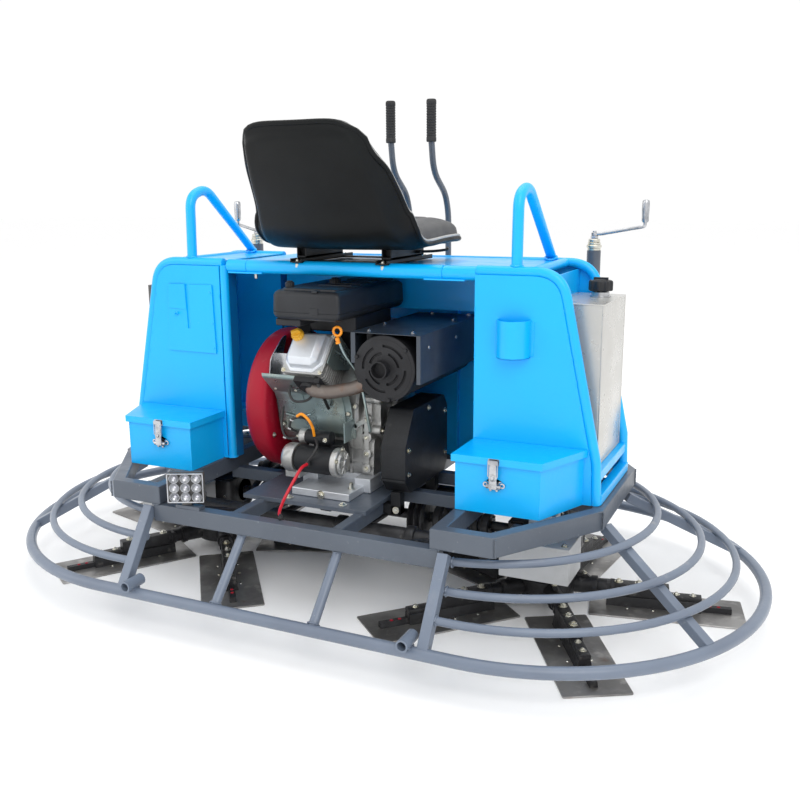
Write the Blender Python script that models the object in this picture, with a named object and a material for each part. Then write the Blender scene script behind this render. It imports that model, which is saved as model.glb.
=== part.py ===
"""Ride-on power trowel with two rotors: an assembly of separate named pieces.

Metres, +Z up, +X to the machine's right, +Y the way the driver faces.
The origin is on the ground under the middle of the machine.
"""
import math

import bmesh
import bpy
from mathutils import Matrix, Vector

# ---- driving dimensions -------------------------------------------------
CLEAR = 0.0003            # gap kept between pieces that touch

# guard rings
RING_RADIUS = 0.542       # end radius of the outer ring, tube centre
RING_HEIGHT = 0.085       # outer ring centre above the ground
RING_TUBE = 0.0135        # outer ring tube radius
RING_X = 0.450            # centre of the end arcs of the outer ring
ROTOR_X = 0.482           # rotor axis from the middle
STEP_RINGS = (            # outside the corner spokes, extra reach along X, arc centre, height
    (0.0108, 0.000, 0.424, 0.1425),
    (-0.0206, 0.011, 0.388, 0.1840),
    (-0.0242, -0.010, 0.338, 0.2355),
)
STEP_TUBE = 0.009
RING_STEPS = 14
SPOKE_X = 0.383           # rear and front corner spokes
SPOKE_HALF = 0.0122
MID_SPOKE_X = 0.126
MID_SPOKE_RADIUS = 0.011
SIDE_SPOKE_ANGLE = 32.2
SIDE_SPOKE_IN = (0.650, 0.118)
STUB_X = 0.350
STUB_RADIUS = 0.0135
STUB_BORE = 0.0088
STUB_LENGTH = 0.056

# main frame
RAIL_Y = 0.414            # centre of the rear and front rails
RAIL_HALF = 0.016
RAIL_LOW = 0.222
RAIL_TOP = 0.264
RAIL_END = 0.3702
BOX_TOP = 0.309           # top of the raised side frames
SIDE_X = 0.365
SIDE_HALF = 0.015
CORNER_X = 0.482
END_X = 0.642
END_Y = 0.172
CROSS_X = (-0.155, 0.113)
CROSS_HALF = 0.0125
CROSS_LOW = 0.228
HANGER_Y = 0.085
HANGER_HALF = 0.014
PLATE_TOP = 0.2705
PLATE_X = (-0.205, 0.132)
PLATE_Y = 0.292
FOOT_Y = (0.215, 0.428)
FOOT_X = 0.345
FOOT_TOP = 0.270

# towers and panels
PANEL_Y = 0.156
SHEET = 0.004
TOWER_TOP = 0.832
TOWER_IN = 0.346
TOWER_SHOULDER_X = 0.486
TOWER_ARM_X = 0.545
TOWER_ARM_Z = 0.770
TOWER_HIP_X = 0.640
TOWER_HIP_Z = 0.405
HOOP_RADIUS = 0.0115
POST_IN = 0.322
POST_DEPTH = 0.050
SHELF_TOP = 0.384
TANK_X = (0.505, 0.622)
TANK_Y = (-0.100, 0.1325)
TANK_TOP = 0.750
CAP_AT = (0.578, 0.058)    # filler cap of the right tank
CAP_RADIUS = 0.0285
TANK_GAP = 0.001
WALL_TOP = 0.806          # top of the wall behind each tank

# tool boxes
LID_Y = 0.301             # rear edge of the lid, behind the middle
LID_TOP = 0.437
LID_DEPTH = 0.016
LID_OUT_REAR = 0.551
LID_OUT_FRONT = 0.612
LID_IN = 0.347
LIP = 0.007
BOX_LOW = BOX_TOP + CLEAR
BOX_FRONT = -0.1562       # front of the boxes, against the tower
LATCH_X = 0.445
LATCH_Z = 0.374           # pivot of the draw latches
LATCH_TOP = 0.434
LATCH_BARREL = 0.0055
LATCH_HALF = 0.017
LATCH_GAP = 0.0013        # lets the lid's rear edge swing past the hook

# top rail, deck and seat
DECK_X = 0.320
TOP_RAIL_LOW = 0.800
TOP_RAIL_TOP = 0.826
FRONT_Y = 0.230             # front face of the front panel and deck
BAND_LOW = 0.690
SEAT_RAIL_X = 0.115
SEAT_KNOTS = (             # centre line (y, z) from the front of the pan to the top of the back
    (0.122, 0.864), (0.080, 0.869), (0.000, 0.868), (-0.100, 0.864), (-0.175, 0.870),
    (-0.228, 0.898), (-0.262, 0.955), (-0.300, 1.025), (-0.332, 1.090), (-0.350, 1.135),
)
SEAT_HALF = 0.213
SEAT_TOP_HALF = 0.152
SEAT_WING = 0.052          # how far the back's edges come forward at the waist
SEAT_TOP_DROP = 0.115      # how far the top corners are rounded down, as a share of the length
SEAT_SHELL = 0.010
SLIDE_TOP = 0.8695         # runners, sunk into the underside of the shell
SEAT_GAP = 0.0011          # between the shell and the underside of the cushion
CUSHION = 0.045
CUSHION_INSET = 0.008
SEAT_ROWS = 16
SEAT_COLUMNS = 10

# handles, levers and pitch cranks
HANDLE_X = 0.436
HANDLE_TUBE = 0.0125
HANDLE_RISE = (0.152, 0.172)   # rear and front bend above the tower
LEVER_X = 0.060
LEVER_Y = 0.395
LEVER_Z = 0.335
LEVER_ROD = 0.0085
GRIP_RADIUS = 0.0135
LEVER_TOP = 1.232
PITCH_X = 0.508
PITCH_Y = 0.275
PITCH_TUBE = 0.0175
PITCH_TOP = TOWER_TOP + 0.010
CRANK_Z = PITCH_TOP + 0.042
CRANK_ARM = 0.125
CRANK_ROD = 0.0045

# engine
CRANK_Y = -0.020          # crankshaft axis
CRANK_HEIGHT = 0.460
BANK = 48.0               # lean of each cylinder, degrees
REAR_BANK_X = -0.068
FRONT_BANK_X = -0.010
COVER_END = 0.262         # outer face of the valve covers from the crankshaft
BLOWER_X = (-0.262, -0.1884)
BLOWER_RADIUS = 0.185
MUFFLER_RADIUS = 0.077
MUFFLER_SIDE = 0.063       # side towards the engine
MUFFLER_LOW = 0.514        # underside, above the belt guard
MUFFLER_X = MUFFLER_SIDE + MUFFLER_RADIUS
MUFFLER_Z = MUFFLER_LOW + MUFFLER_RADIUS
SHIELD_GAP = (0.015, 0.0025)   # heat shield beside and above the silencer
SHIELD_IN = 0.0535
SHIELD_LOW = 0.560
SHIELD_Y = (-0.200, 0.196)
SHIELD_SHEET = 0.003
MUFFLER_Y = (-0.205, 0.200)
GUARD_X = (0.128, 0.192)
GUARD_OUTLINE = (          # (y, z) corners of the belt guard
    (-0.198, 0.322), (-0.170, 0.286), (0.046, 0.286), (0.064, 0.312),
    (0.064, 0.456), (0.040, 0.488), (-0.150, 0.488), (-0.198, 0.405),
)
SHAFT_Z = 0.168

# rotors
ARM_Z = 0.046             # axis of the trowel arms
ARM_RADIUS = 0.0130
ARM_CLEAR = 0.0006        # running clearance of the arms in their sockets
SOCKET_END = 0.128
HUB_RADIUS = 0.074
BLADE_IN = 0.110
BLADE_OUT = 0.472
BLADE_HALF = 0.075
BLADE_SHEET = 0.004
BLADES = 5
RIGHT_FIRST = -61.0       # direction of the first blade, degrees
LEFT_FIRST = -52.0

# ---- colours: base colour, roughness, metallic --------------------------
BLUE = ((0.030, 0.390, 0.880), 0.35, 0.0)
FRAME = ((0.135, 0.175, 0.235), 0.45, 0.0)
BLACK = ((0.020, 0.020, 0.022), 0.40, 0.0)
RED = ((0.330, 0.010, 0.020), 0.40, 0.0)
CAST = ((0.450, 0.460, 0.450), 0.45, 1.0)
STEEL = ((0.500, 0.490, 0.470), 0.45, 1.0)
CHROME = ((0.800, 0.800, 0.800), 0.15, 1.0)
TANK_GREY = ((0.560, 0.550, 0.510), 0.40, 0.0)
DARK_GREY = ((0.080, 0.080, 0.085), 0.50, 0.0)
PALE = ((0.520, 0.530, 0.530), 0.50, 0.0)
YELLOW = ((0.700, 0.420, 0.020), 0.40, 0.0)
ORANGE = ((0.800, 0.250, 0.020), 0.40, 0.0)
VINYL = ((0.025, 0.025, 0.026), 0.50, 0.0)
CABLE = ((0.500, 0.010, 0.020), 0.45, 0.0)


# ---- solids -------------------------------------------------------------
def clear_scene():
    for item in list(bpy.data.objects):
        bpy.data.objects.remove(item, do_unlink=True)


def box(x0, x1, y0, y1, z0, z1):
    verts = [(x, y, z) for x in (x0, x1) for y in (y0, y1) for z in (z0, z1)]
    faces = [(0, 1, 3, 2), (4, 6, 7, 5), (0, 4, 5, 1), (2, 3, 7, 6), (0, 2, 6, 4), (1, 5, 7, 3)]
    return verts, faces


def loft(loops, closed=False):
    """Closed solid through loops of equal length."""
    count = len(loops[0])
    verts = [tuple(point) for loop in loops for point in loop]
    faces = []
    spans = len(loops) if closed else len(loops) - 1
    for i in range(spans):
        a = i * count
        b = ((i + 1) % len(loops)) * count
        for j in range(count):
            k = (j + 1) % count
            faces.append((a + j, a + k, b + k, b + j))
    if not closed:
        faces.append(tuple(range(count)))
        last = (len(loops) - 1) * count
        faces.append(tuple(last + j for j in reversed(range(count))))
    return verts, faces


def prism(outline, axis, low, high):
    """Outline of (a, b) pairs in the plane across the axis, pushed from low to high."""
    place = {
        "x": lambda a, b, h: (h, a, b),
        "y": lambda a, b, h: (a, h, b),
        "z": lambda a, b, h: (a, b, h),
    }[axis]
    return loft([[place(a, b, h) for a, b in outline] for h in (low, high)])


def tube(points, radius, sides=8, closed=False, turn=0.0, up=(0.0, 0.0, 1.0)):
    """Round or flat-sided bar along a path; up sets where its first corner points."""
    path = [Vector(p) for p in points]
    count = len(path)
    loops = []
    for i in range(count):
        before = path[i - 1] if (i > 0 or closed) else path[i]
        after = path[(i + 1) % count] if (i < count - 1 or closed) else path[i]
        ahead = (after - path[i]).normalized() if (after - path[i]).length > 0 else None
        behind = (path[i] - before).normalized() if (path[i] - before).length > 0 else None
        if ahead is None:
            ahead = behind
        if behind is None:
            behind = ahead
        tangent = (ahead + behind).normalized()
        side = tangent.cross(Vector(up))
        if side.length < 0.05:
            side = tangent.cross(Vector((0.0, 1.0, 0.0)))
        side.normalize()
        top = side.cross(tangent).normalized()
        stretch = 1.0 / max(0.5, tangent.dot(ahead))
        bend = ahead - behind
        loop = []
        for j in range(sides):
            angle = 2.0 * math.pi * j / sides + turn
            offset = side * math.cos(angle) * radius + top * math.sin(angle) * radius
            if bend.length > 1e-6:
                out = bend.normalized()
                offset += out * offset.dot(out) * (stretch - 1.0)
            loop.append(path[i] + offset)
        loops.append(loop)
    return loft(loops, closed)


def bar(start, end, half, up=(0.0, 0.0, 1.0)):
    return tube([start, end], half * math.sqrt(2.0), 4, turn=math.pi / 4.0, up=up)


def lathe(profile, centre, axis, steps=16):
    """Profile of (radius, height) from the top down; radius 0 closes an end."""
    place = {
        "x": lambda a, b, h: (h, a, b),
        "y": lambda a, b, h: (b, h, a),
        "z": lambda a, b, h: (a, b, h),
    }[axis]
    verts = []
    rows = []
    for radius, height in profile:
        row = []
        turns = 1 if radius < 1e-6 else steps
        for j in range(turns):
            angle = 2.0 * math.pi * j / steps
            offset = place(radius * math.cos(angle), radius * math.sin(angle), height)
            row.append(len(verts))
            verts.append(tuple(c + o for c, o in zip(centre, offset)))
        rows.append(row)
    faces = []
    for upper, lower in zip(rows, rows[1:]):
        for j in range(steps):
            k = (j + 1) % steps
            corners = [upper[j % len(upper)], lower[j % len(lower)]]
            corners += [lower[k % len(lower)], upper[k % len(upper)]]
            face = list(dict.fromkeys(corners))
            if len(face) > 2:
                faces.append(tuple(face))
    if len(rows[0]) > 1:
        faces.append(tuple(rows[0]))
    if len(rows[-1]) > 1:
        faces.append(tuple(reversed(rows[-1])))
    return verts, faces


def drum(centre, axis, radius, low, high, steps=16):
    return lathe([(radius, high), (radius, low)], centre, axis, steps)


def arc(centre, radius, start, end, steps, height):
    points = []
    for i in range(steps + 1):
        angle = math.radians(start + (end - start) * i / steps)
        x = centre[0] + radius * math.cos(angle)
        points.append((x, centre[1] + radius * math.sin(angle), height))
    return points


def rounded(points, radius, steps=4):
    """Path with its inner corners rounded off."""
    path = [Vector(p) for p in points]
    result = [tuple(path[0])]
    for before, here, after in zip(path, path[1:], path[2:]):
        reach = min(radius, (here - before).length * 0.45, (after - here).length * 0.45)
        start = here + (before - here).normalized() * reach
        end = here + (after - here).normalized() * reach
        for i in range(steps + 1):
            t = i / steps
            result.append(tuple(start * (1 - t) ** 2 + here * 2 * t * (1 - t) + end * t * t))
    result.append(tuple(path[-1]))
    return result


def moved(solid, matrix):
    verts, faces = solid
    new = [tuple(matrix @ Vector(v)) for v in verts]
    if matrix.determinant() < 0:
        faces = [tuple(reversed(f)) for f in faces]
    return new, faces


def mirrored(solid, side):
    return solid if side > 0 else moved(solid, Matrix.Scale(-1.0, 4, Vector((1.0, 0.0, 0.0))))


# ---- objects ------------------------------------------------------------
def plain_mesh(name, solid):
    mesh = bpy.data.meshes.new(name)
    mesh.from_pydata(solid[0], [], solid[1])
    work = bmesh.new()
    work.from_mesh(mesh)
    bmesh.ops.recalc_face_normals(work, faces=work.faces)
    work.to_mesh(mesh)
    work.free()
    return mesh


def combine(name, solids, cuts=()):
    """One mesh: the solids joined, less the cuts."""
    base = bpy.data.objects.new(name + "_base", plain_mesh(name, solids[0]))
    bpy.context.scene.collection.objects.link(base)
    helpers = []
    for kind, group in (("UNION", solids[1:]), ("DIFFERENCE", cuts)):
        for solid in group:
            helper = bpy.data.objects.new(name + "_tool", plain_mesh(name + "_tool", solid))
            helper.hide_render = True
            helper.display_type = "WIRE"
            bpy.context.scene.collection.objects.link(helper)
            step = base.modifiers.new("step", "BOOLEAN")
            step.operation = kind
            step.solver = "EXACT"
            step.object = helper
            helpers.append(helper)
    bpy.context.view_layer.update()
    graph = bpy.context.evaluated_depsgraph_get()
    mesh = bpy.data.meshes.new_from_object(base.evaluated_get(graph))
    for helper in helpers + [base]:
        bpy.data.objects.remove(helper, do_unlink=True)
    work = bmesh.new()
    work.from_mesh(mesh)
    bmesh.ops.remove_doubles(work, verts=work.verts, dist=0.00002)
    bmesh.ops.dissolve_degenerate(work, edges=work.edges, dist=0.00001)
    bmesh.ops.dissolve_limit(
        work, angle_limit=math.radians(0.5), verts=work.verts, edges=work.edges
    )
    bmesh.ops.triangulate(work, faces=work.faces)
    work.to_mesh(mesh)
    work.free()
    mesh.name = name
    return mesh


def add(name, finish, solids, origin=(0.0, 0.0, 0.0), cuts=(), round_piece=False):
    mesh = combine(name, solids, cuts) if len(solids) > 1 or cuts else plain_mesh(name, solids[0])
    mesh.transform(Matrix.Translation(-Vector(origin)))
    if round_piece:
        mesh.shade_smooth()
        mesh.set_sharp_from_angle(angle=math.radians(35.0))
    colour, roughness, metallic = finish
    material = bpy.data.materials.new(name + "_finish")
    material.use_nodes = True
    shader = material.node_tree.nodes["Principled BSDF"]
    shader.inputs["Base Color"].default_value = (*colour, 1.0)
    shader.inputs["Roughness"].default_value = roughness
    shader.inputs["Metallic"].default_value = metallic
    mesh.materials.clear()
    mesh.materials.append(material)
    item = bpy.data.objects.new(name, mesh)
    item.location = origin
    bpy.context.scene.collection.objects.link(item)
    return item


# ---- frame and guard rings ----------------------------------------------
def raised_loop(side):
    """Raised side frame: a flat loop of box tube with chamfered outer corners."""
    corners = [
        (SIDE_X, -RAIL_Y), (CORNER_X, -RAIL_Y), (END_X, -END_Y),
        (END_X, END_Y), (CORNER_X, RAIL_Y), (SIDE_X, RAIL_Y),
    ]
    middle = (RAIL_TOP + BOX_TOP) / 2.0
    high = (BOX_TOP - RAIL_TOP) / 2.0
    loops = []
    count = len(corners)
    for i in range(count):
        here = Vector(corners[i])
        before = (here - Vector(corners[i - 1])).normalized()
        after = (Vector(corners[(i + 1) % count]) - here).normalized()
        left_a = Vector((before.y, -before.x))
        left_b = Vector((after.y, -after.x))
        out = (left_a + left_b).normalized()
        out *= SIDE_HALF / out.dot(left_a)
        loops.append([
            (side * (here.x + out.x), here.y + out.y, middle - high),
            (side * (here.x + out.x), here.y + out.y, middle + high),
            (side * (here.x - out.x), here.y - out.y, middle + high),
            (side * (here.x - out.x), here.y - out.y, middle - high),
        ])
    return loft(loops, closed=True)


def main_frame():
    solids = [box(-RAIL_END, RAIL_END, -RAIL_Y - RAIL_HALF, -RAIL_Y + RAIL_HALF, RAIL_LOW, RAIL_TOP)]
    solids.append(box(-RAIL_END, RAIL_END, RAIL_Y - RAIL_HALF, RAIL_Y + RAIL_HALF, RAIL_LOW, RAIL_TOP))
    # the loops sink slightly into the rails where they are welded on
    solids += [moved(raised_loop(side), Matrix.Translation((0, 0, -0.0006))) for side in (-1, 1)]
    for x in CROSS_X:
        solids.append(box(x - CROSS_HALF, x + CROSS_HALF, -RAIL_Y, RAIL_Y, CROSS_LOW, RAIL_TOP - 0.002))
    solids.append(box(PLATE_X[0], PLATE_X[1], -PLATE_Y, PLATE_Y - 0.09, RAIL_TOP - 0.004, PLATE_TOP))
    solids.append(box(-FOOT_X, FOOT_X, FOOT_Y[0], FOOT_Y[1] - 0.002, RAIL_TOP - 0.003, FOOT_TOP))
    for side in (-1, 1):
        for y in (-HANGER_Y, HANGER_Y):
            ends = sorted((side * SIDE_X, side * END_X))
            solids.append(box(ends[0], ends[1], y - HANGER_HALF, y + HANGER_HALF, 0.272, 0.300))
            inner = sorted((side * (SIDE_X + 0.008), CROSS_X[0] if side < 0 else CROSS_X[1]))
            solids.append(box(inner[0], inner[1], y - HANGER_HALF, y + HANGER_HALF, 0.236, 0.268))
    # plate that carries the work light
    solids.append(box(-0.305, -0.236, -RAIL_Y - RAIL_HALF + 0.002, -RAIL_Y + 0.010, RAIL_TOP - 0.003, 0.272))
    return solids


def ring_path(steps):
    right = arc((RING_X, 0.0), RING_RADIUS, -90.0, 90.0, steps, RING_HEIGHT)
    left = arc((-RING_X, 0.0), RING_RADIUS, 90.0, 270.0, steps, RING_HEIGHT)
    return right + left


def outer_ring():
    solids = [tube(ring_path(18), RING_TUBE, 8, closed=True)]
    for side in (-1, 1):
        for across in (-1, 1):
            foot = (side * MID_SPOKE_X, across * (RING_RADIUS - 0.003), RING_HEIGHT)
            head = (side * MID_SPOKE_X, across * RAIL_Y, RAIL_LOW - CLEAR)
            spoke = tube([foot, head], MID_SPOKE_RADIUS, 10)
            # the head is cut level under the rail
            level = [(v[0], v[1], min(v[2], RAIL_LOW - CLEAR)) for v in spoke[0]]
            solids.append((level, spoke[1]))
            z = RING_HEIGHT + RING_TUBE + STUB_RADIUS - 0.003
            near = across * (RING_RADIUS + STUB_LENGTH * 0.5)
            far = across * (RING_RADIUS - STUB_LENGTH * 0.5)
            solids.append(tube([(side * STUB_X, far, z), (side * STUB_X, near, z)], STUB_RADIUS, 10))
    return solids


def stub_bores():
    z = RING_HEIGHT + RING_TUBE + STUB_RADIUS - 0.003
    cuts = []
    for side in (-1, 1):
        for across in (-1, 1):
            a = across * (RING_RADIUS - STUB_LENGTH)
            b = across * (RING_RADIUS + STUB_LENGTH)
            cuts.append(tube([(side * STUB_X, a, z), (side * STUB_X, b, z)], STUB_BORE, 10))
    return cuts


def spoke_line(height):
    """Distance from the middle of the corner spokes at a height."""
    low = RING_RADIUS - 0.020
    high = RAIL_Y + 0.006
    return low + (high - low) * (height - RING_HEIGHT) / (RAIL_TOP - RING_HEIGHT)


def cage(side):
    """Step rings of one side with the four spokes that hold them."""
    solids = []
    for across in (-1, 1):
        low = RING_HEIGHT + 0.020
        head = RAIL_TOP - 0.008
        start = (side * SPOKE_X, across * (spoke_line(low) + 0.004), low)
        end = (side * SPOKE_X, across * spoke_line(head), head)
        solids.append(bar(start, end, SPOKE_HALF))
        angle = math.radians(SIDE_SPOKE_ANGLE)
        reach = RING_RADIUS - 0.030
        foot = (
            side * (RING_X + reach * math.cos(angle)), across * reach * math.sin(angle),
            RING_HEIGHT + 0.019,
        )
        top = (side * SIDE_SPOKE_IN[0], across * SIDE_SPOKE_IN[1], RAIL_TOP - 0.0125)
        solids.append(bar(foot, top, SPOKE_HALF - 0.0007))
    for outside, extra, centre, height in STEP_RINGS:
        wide = spoke_line(height) + outside
        long = wide + extra
        edge = SPOKE_X - 0.002
        swing = 90.0
        path = []
        if centre < edge:
            swing = math.degrees(math.acos((edge - centre) / long))
        for i in range(RING_STEPS + 1):
            angle = math.radians(-swing + 2.0 * swing * i / RING_STEPS)
            path.append((centre + long * math.cos(angle), wide * math.sin(angle), height))
        if centre > edge:
            path = [(edge, -wide, height)] + path + [(edge, wide, height)]
        solids.append(tube([(side * p[0], p[1], p[2]) for p in path], STEP_TUBE, 8))
    return solids


# ---- towers -------------------------------------------------------------
def tower_outline(inset):
    """Corners of a tower side in the x-z plane, drawn in by inset."""
    hip = TOWER_HIP_X - inset
    points = [
        (TOWER_IN, TOWER_TOP - inset), (TOWER_SHOULDER_X, TOWER_TOP - inset),
        (TOWER_SHOULDER_X + 0.030 - inset * 0.5, TOWER_TOP - 0.014 - inset * 0.8),
        (TOWER_ARM_X - 0.010 - inset * 0.9, TOWER_ARM_Z + 0.024 - inset * 0.3),
        (TOWER_ARM_X - inset, TOWER_ARM_Z - 0.004),
        (hip, TOWER_HIP_Z), (hip + 0.003, BOX_LOW),
    ]
    return points


def tower(side):
    solids = []
    for across in (-1, 1):
        face = across * PANEL_Y
        inner = face - across * SHEET
        outline = tower_outline(0.008) + [(TOWER_IN, BOX_LOW)]
        solids.append(mirrored(prism(outline, "y", min(face, inner), max(face, inner)), side))
        rim = [(x, face - across * HOOP_RADIUS, z) for x, z in tower_outline(HOOP_RADIUS)]
        rim[0] = (TOWER_IN - 0.012, rim[0][1], rim[0][2])
        solids.append(mirrored(tube(rim, HOOP_RADIUS, 8, turn=math.pi / 8.0, up=(0, 1, 0)), side))
        a = face
        b = face - across * POST_DEPTH
        post = box(POST_IN, TOWER_IN + 0.002, min(a, b), max(a, b), BOX_LOW, TOWER_TOP - 0.010)
        solids.append(mirrored(post, side))
    top = TOWER_TOP - 0.006
    deep = PANEL_Y - HOOP_RADIUS
    solids.append(mirrored(box(TOWER_IN - 0.010, 0.462, -deep, deep, top - SHEET, top), side))
    shelf = box(TANK_X[0] - 0.06, TANK_X[1], -PANEL_Y + 0.002, PANEL_Y - 0.002, SHELF_TOP - 0.004, SHELF_TOP)
    solids.append(mirrored(shelf, side))
    # inner wall behind the tank
    wall = TANK_X[0] - TANK_GAP
    side_y = PANEL_Y - SHEET + 0.001
    solids.append(mirrored(box(wall - 0.003, wall, -side_y, side_y, SHELF_TOP - 0.001, WALL_TOP), side))
    upper = bar((0.626, -0.150, SHELF_TOP - 0.012), (0.626, 0.150, SHELF_TOP - 0.012), 0.0115)
    lower = bar((0.633, -0.150, BOX_LOW + 0.0120), (0.633, 0.150, BOX_LOW + 0.0120), 0.0115)
    solids.append(mirrored(upper, side))
    solids.append(mirrored(lower, side))
    return solids


def right_extras():
    """Half-round holder on the rear face of the right tower."""
    x0, x1, z0, z1 = 0.400, 0.476, 0.632, 0.716
    outline = []
    steps = 8
    half = (x1 - x0) / 2.0
    for i in range(steps + 1):
        angle = math.pi * i / steps
        outline.append(((x0 + x1) / 2 + half * math.cos(angle), -PANEL_Y - 0.044 * math.sin(angle)))
    outline = [(x1, -PANEL_Y + 0.002)] + outline + [(x0, -PANEL_Y + 0.002)]
    inner = []
    wall = 0.003
    for i in range(steps + 1):
        angle = math.pi * i / steps
        x = (x0 + x1) / 2 + (half - wall) * math.cos(angle)
        inner.append((x, -PANEL_Y - 0.0005 - (0.044 - wall) * math.sin(angle)))
    return prism(outline, "z", z0, z1), prism(inner, "z", z0 + wall, z1 + 0.02)


def left_extras():
    """Raised cover plate on the rear face of the left tower."""
    plate = [(-0.366, 0.764), (-0.502, 0.762), (-0.512, 0.588), (-0.361, 0.587)]
    solid = prism(plate, "y", -PANEL_Y - 0.003, -PANEL_Y + 0.002)
    slot = [(-0.456, 0.762), (-0.450, 0.762), (-0.437, 0.650), (-0.446, 0.649)]
    return solid, prism(slot, "y", -PANEL_Y - 0.010, -PANEL_Y - 0.0012)


def tank(side):
    grow = CLEAR
    solid = box(TANK_X[0], TANK_X[1], TANK_Y[0], TANK_Y[1], SHELF_TOP + grow, TANK_TOP)
    solids = [mirrored(solid, side)]
    neck = (side * CAP_AT[0], CAP_AT[1], 0.0)
    solids.append(drum(neck, "z", 0.021, TANK_TOP - 0.004, TANK_TOP + 0.012, 14))
    return solids


def fuel_cap():
    centre = (CAP_AT[0], CAP_AT[1], 0.0)
    low = TANK_TOP + 0.012 + CLEAR
    outline = []
    for i in range(24):
        angle = 2 * math.pi * i / 24
        radius = CAP_RADIUS if i % 4 < 3 else CAP_RADIUS - 0.004
        outline.append((centre[0] + radius * math.cos(angle), centre[1] + radius * math.sin(angle)))
    return [prism(outline, "z", low, low + 0.026), drum(centre, "z", 0.022, low + 0.020, low + 0.034, 12)]


# ---- deck, panel, boxes --------------------------------------------------
def seat_deck():
    front = FRONT_Y + 0.002
    outline = [
        (-PANEL_Y, TOP_RAIL_LOW + 0.006), (-PANEL_Y + 0.006, TOP_RAIL_LOW),
        (-PANEL_Y + 0.028, TOP_RAIL_LOW), (-PANEL_Y + 0.034, TOP_RAIL_LOW + 0.006),
        (-PANEL_Y + 0.034, TOP_RAIL_TOP - 0.006), (-PANEL_Y + 0.028, TOP_RAIL_TOP),
        (-PANEL_Y + 0.006, TOP_RAIL_TOP), (-PANEL_Y, TOP_RAIL_TOP - 0.006),
    ]
    span = DECK_X + 0.0015
    rail = prism(outline, "x", -span, span)
    plate = box(-span, span, -PANEL_Y + 0.02, front, TOP_RAIL_TOP - 0.007, TOP_RAIL_TOP - 0.003)
    band = box(-span, span, PANEL_Y - 0.024, PANEL_Y, BAND_LOW, TOP_RAIL_TOP - 0.005)
    edge = box(-span, span, front - 0.022, front, TOP_RAIL_LOW - 0.010, TOP_RAIL_TOP - 0.001)
    lugs = []
    for x in (-0.268, 0.268):
        lugs.append(box(x - 0.050, x + 0.050, -PANEL_Y + 0.003, -PANEL_Y + 0.031,
                        TOP_RAIL_LOW - 0.005, TOP_RAIL_LOW + 0.002))
    return [rail, plate, band, edge] + lugs


def front_panel():
    low = FOOT_TOP + CLEAR
    span = POST_IN - 0.0005
    sheet = box(-span, span, FRONT_Y - SHEET, FRONT_Y, low, TOP_RAIL_LOW - 0.0105)
    flanges = [box(-span, span, FRONT_Y - SHEET, FRONT_Y + 0.020, low, low + SHEET)]
    for side in (-1, 1):
        a, b = sorted((side * span, side * (span - SHEET)))
        flanges.append(box(a, b, PANEL_Y - 0.044, FRONT_Y - 0.001, low + 0.001, BAND_LOW - 0.004))
    return [sheet] + flanges


def box_side(y, inset):
    """X of the slanted outer side of a tool box, moved in square to its face."""
    slope = (LID_OUT_FRONT - LID_OUT_REAR) / (LID_Y - PANEL_Y)
    return LID_OUT_REAR + (y + LID_Y) * slope - inset * math.sqrt(1.0 + slope * slope)


def box_outline(inset, front, back):
    """Outline of a tool box between a rear and a front edge, drawn in by inset."""
    inner = LID_IN + inset
    return [(inner, front), (box_side(front, inset), front), (box_side(back, inset), back), (inner, back)]


def tool_box(side):
    lid_low = LID_TOP - LID_DEPTH
    wall = LIP + 0.003
    body = prism(box_outline(LIP, -LID_Y + LIP, BOX_FRONT), "z", BOX_LOW, lid_low + 0.006)
    cavity = prism(box_outline(wall, -LID_Y + wall, BOX_FRONT - 0.003), "z", BOX_LOW + 0.003, lid_low + 0.03)
    return [mirrored(body, side)], [mirrored(cavity, side)]


def lid(side):
    low = LID_TOP - LID_DEPTH
    wall = LIP - CLEAR * 2
    body = prism(box_outline(0.0, -LID_Y, BOX_FRONT), "z", low, LID_TOP)
    cavity = prism(box_outline(wall, -LID_Y + wall, BOX_FRONT + 0.02), "z", low - 0.02, low + 0.006 + CLEAR)
    return [mirrored(body, side)], [mirrored(cavity, side)]


def latch(side):
    """Draw latch: a barrel on the box wall, with a lever up to a hook beside the lid."""
    x = side * LATCH_X
    wall = -LID_Y + LIP
    pivot_y = wall - CLEAR - LATCH_BARREL
    face = -LID_Y - LATCH_GAP
    barrel = drum((x, pivot_y, LATCH_Z), "x", LATCH_BARREL, -LATCH_HALF, LATCH_HALF, 12)
    plate = box(x - 0.012, x + 0.012, face - 0.004, face, LATCH_Z, LATCH_TOP - 0.002)
    hook = box(x - 0.014, x + 0.014, face - 0.008, face, LATCH_TOP - 0.010, LATCH_TOP)
    foot = box(x - 0.012, x + 0.012, face - 0.001, pivot_y, LATCH_Z, LATCH_Z + 0.0035)
    return [barrel, plate, hook, foot], (x, pivot_y, LATCH_Z)


# ---- seat ---------------------------------------------------------------
def ease(value):
    value = min(1.0, max(0.0, value))
    return value * value * (3.0 - 2.0 * value)


def seat_curve(t):
    """Centre line of the seat from the front of the pan to the top of the back."""
    place = t * (len(SEAT_KNOTS) - 1)
    i = min(int(place), len(SEAT_KNOTS) - 2)
    f = place - i
    a, b = SEAT_KNOTS[max(i - 1, 0)], SEAT_KNOTS[i]
    c, d = SEAT_KNOTS[i + 1], SEAT_KNOTS[min(i + 2, len(SEAT_KNOTS) - 1)]
    point = []
    for k in range(2):
        value = 2 * b[k] + (c[k] - a[k]) * f
        value += (2 * a[k] - 5 * b[k] + 4 * c[k] - d[k]) * f * f
        value += (3 * b[k] - a[k] - 3 * c[k] + d[k]) * f ** 3
        point.append(value / 2.0)
    return point


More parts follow.
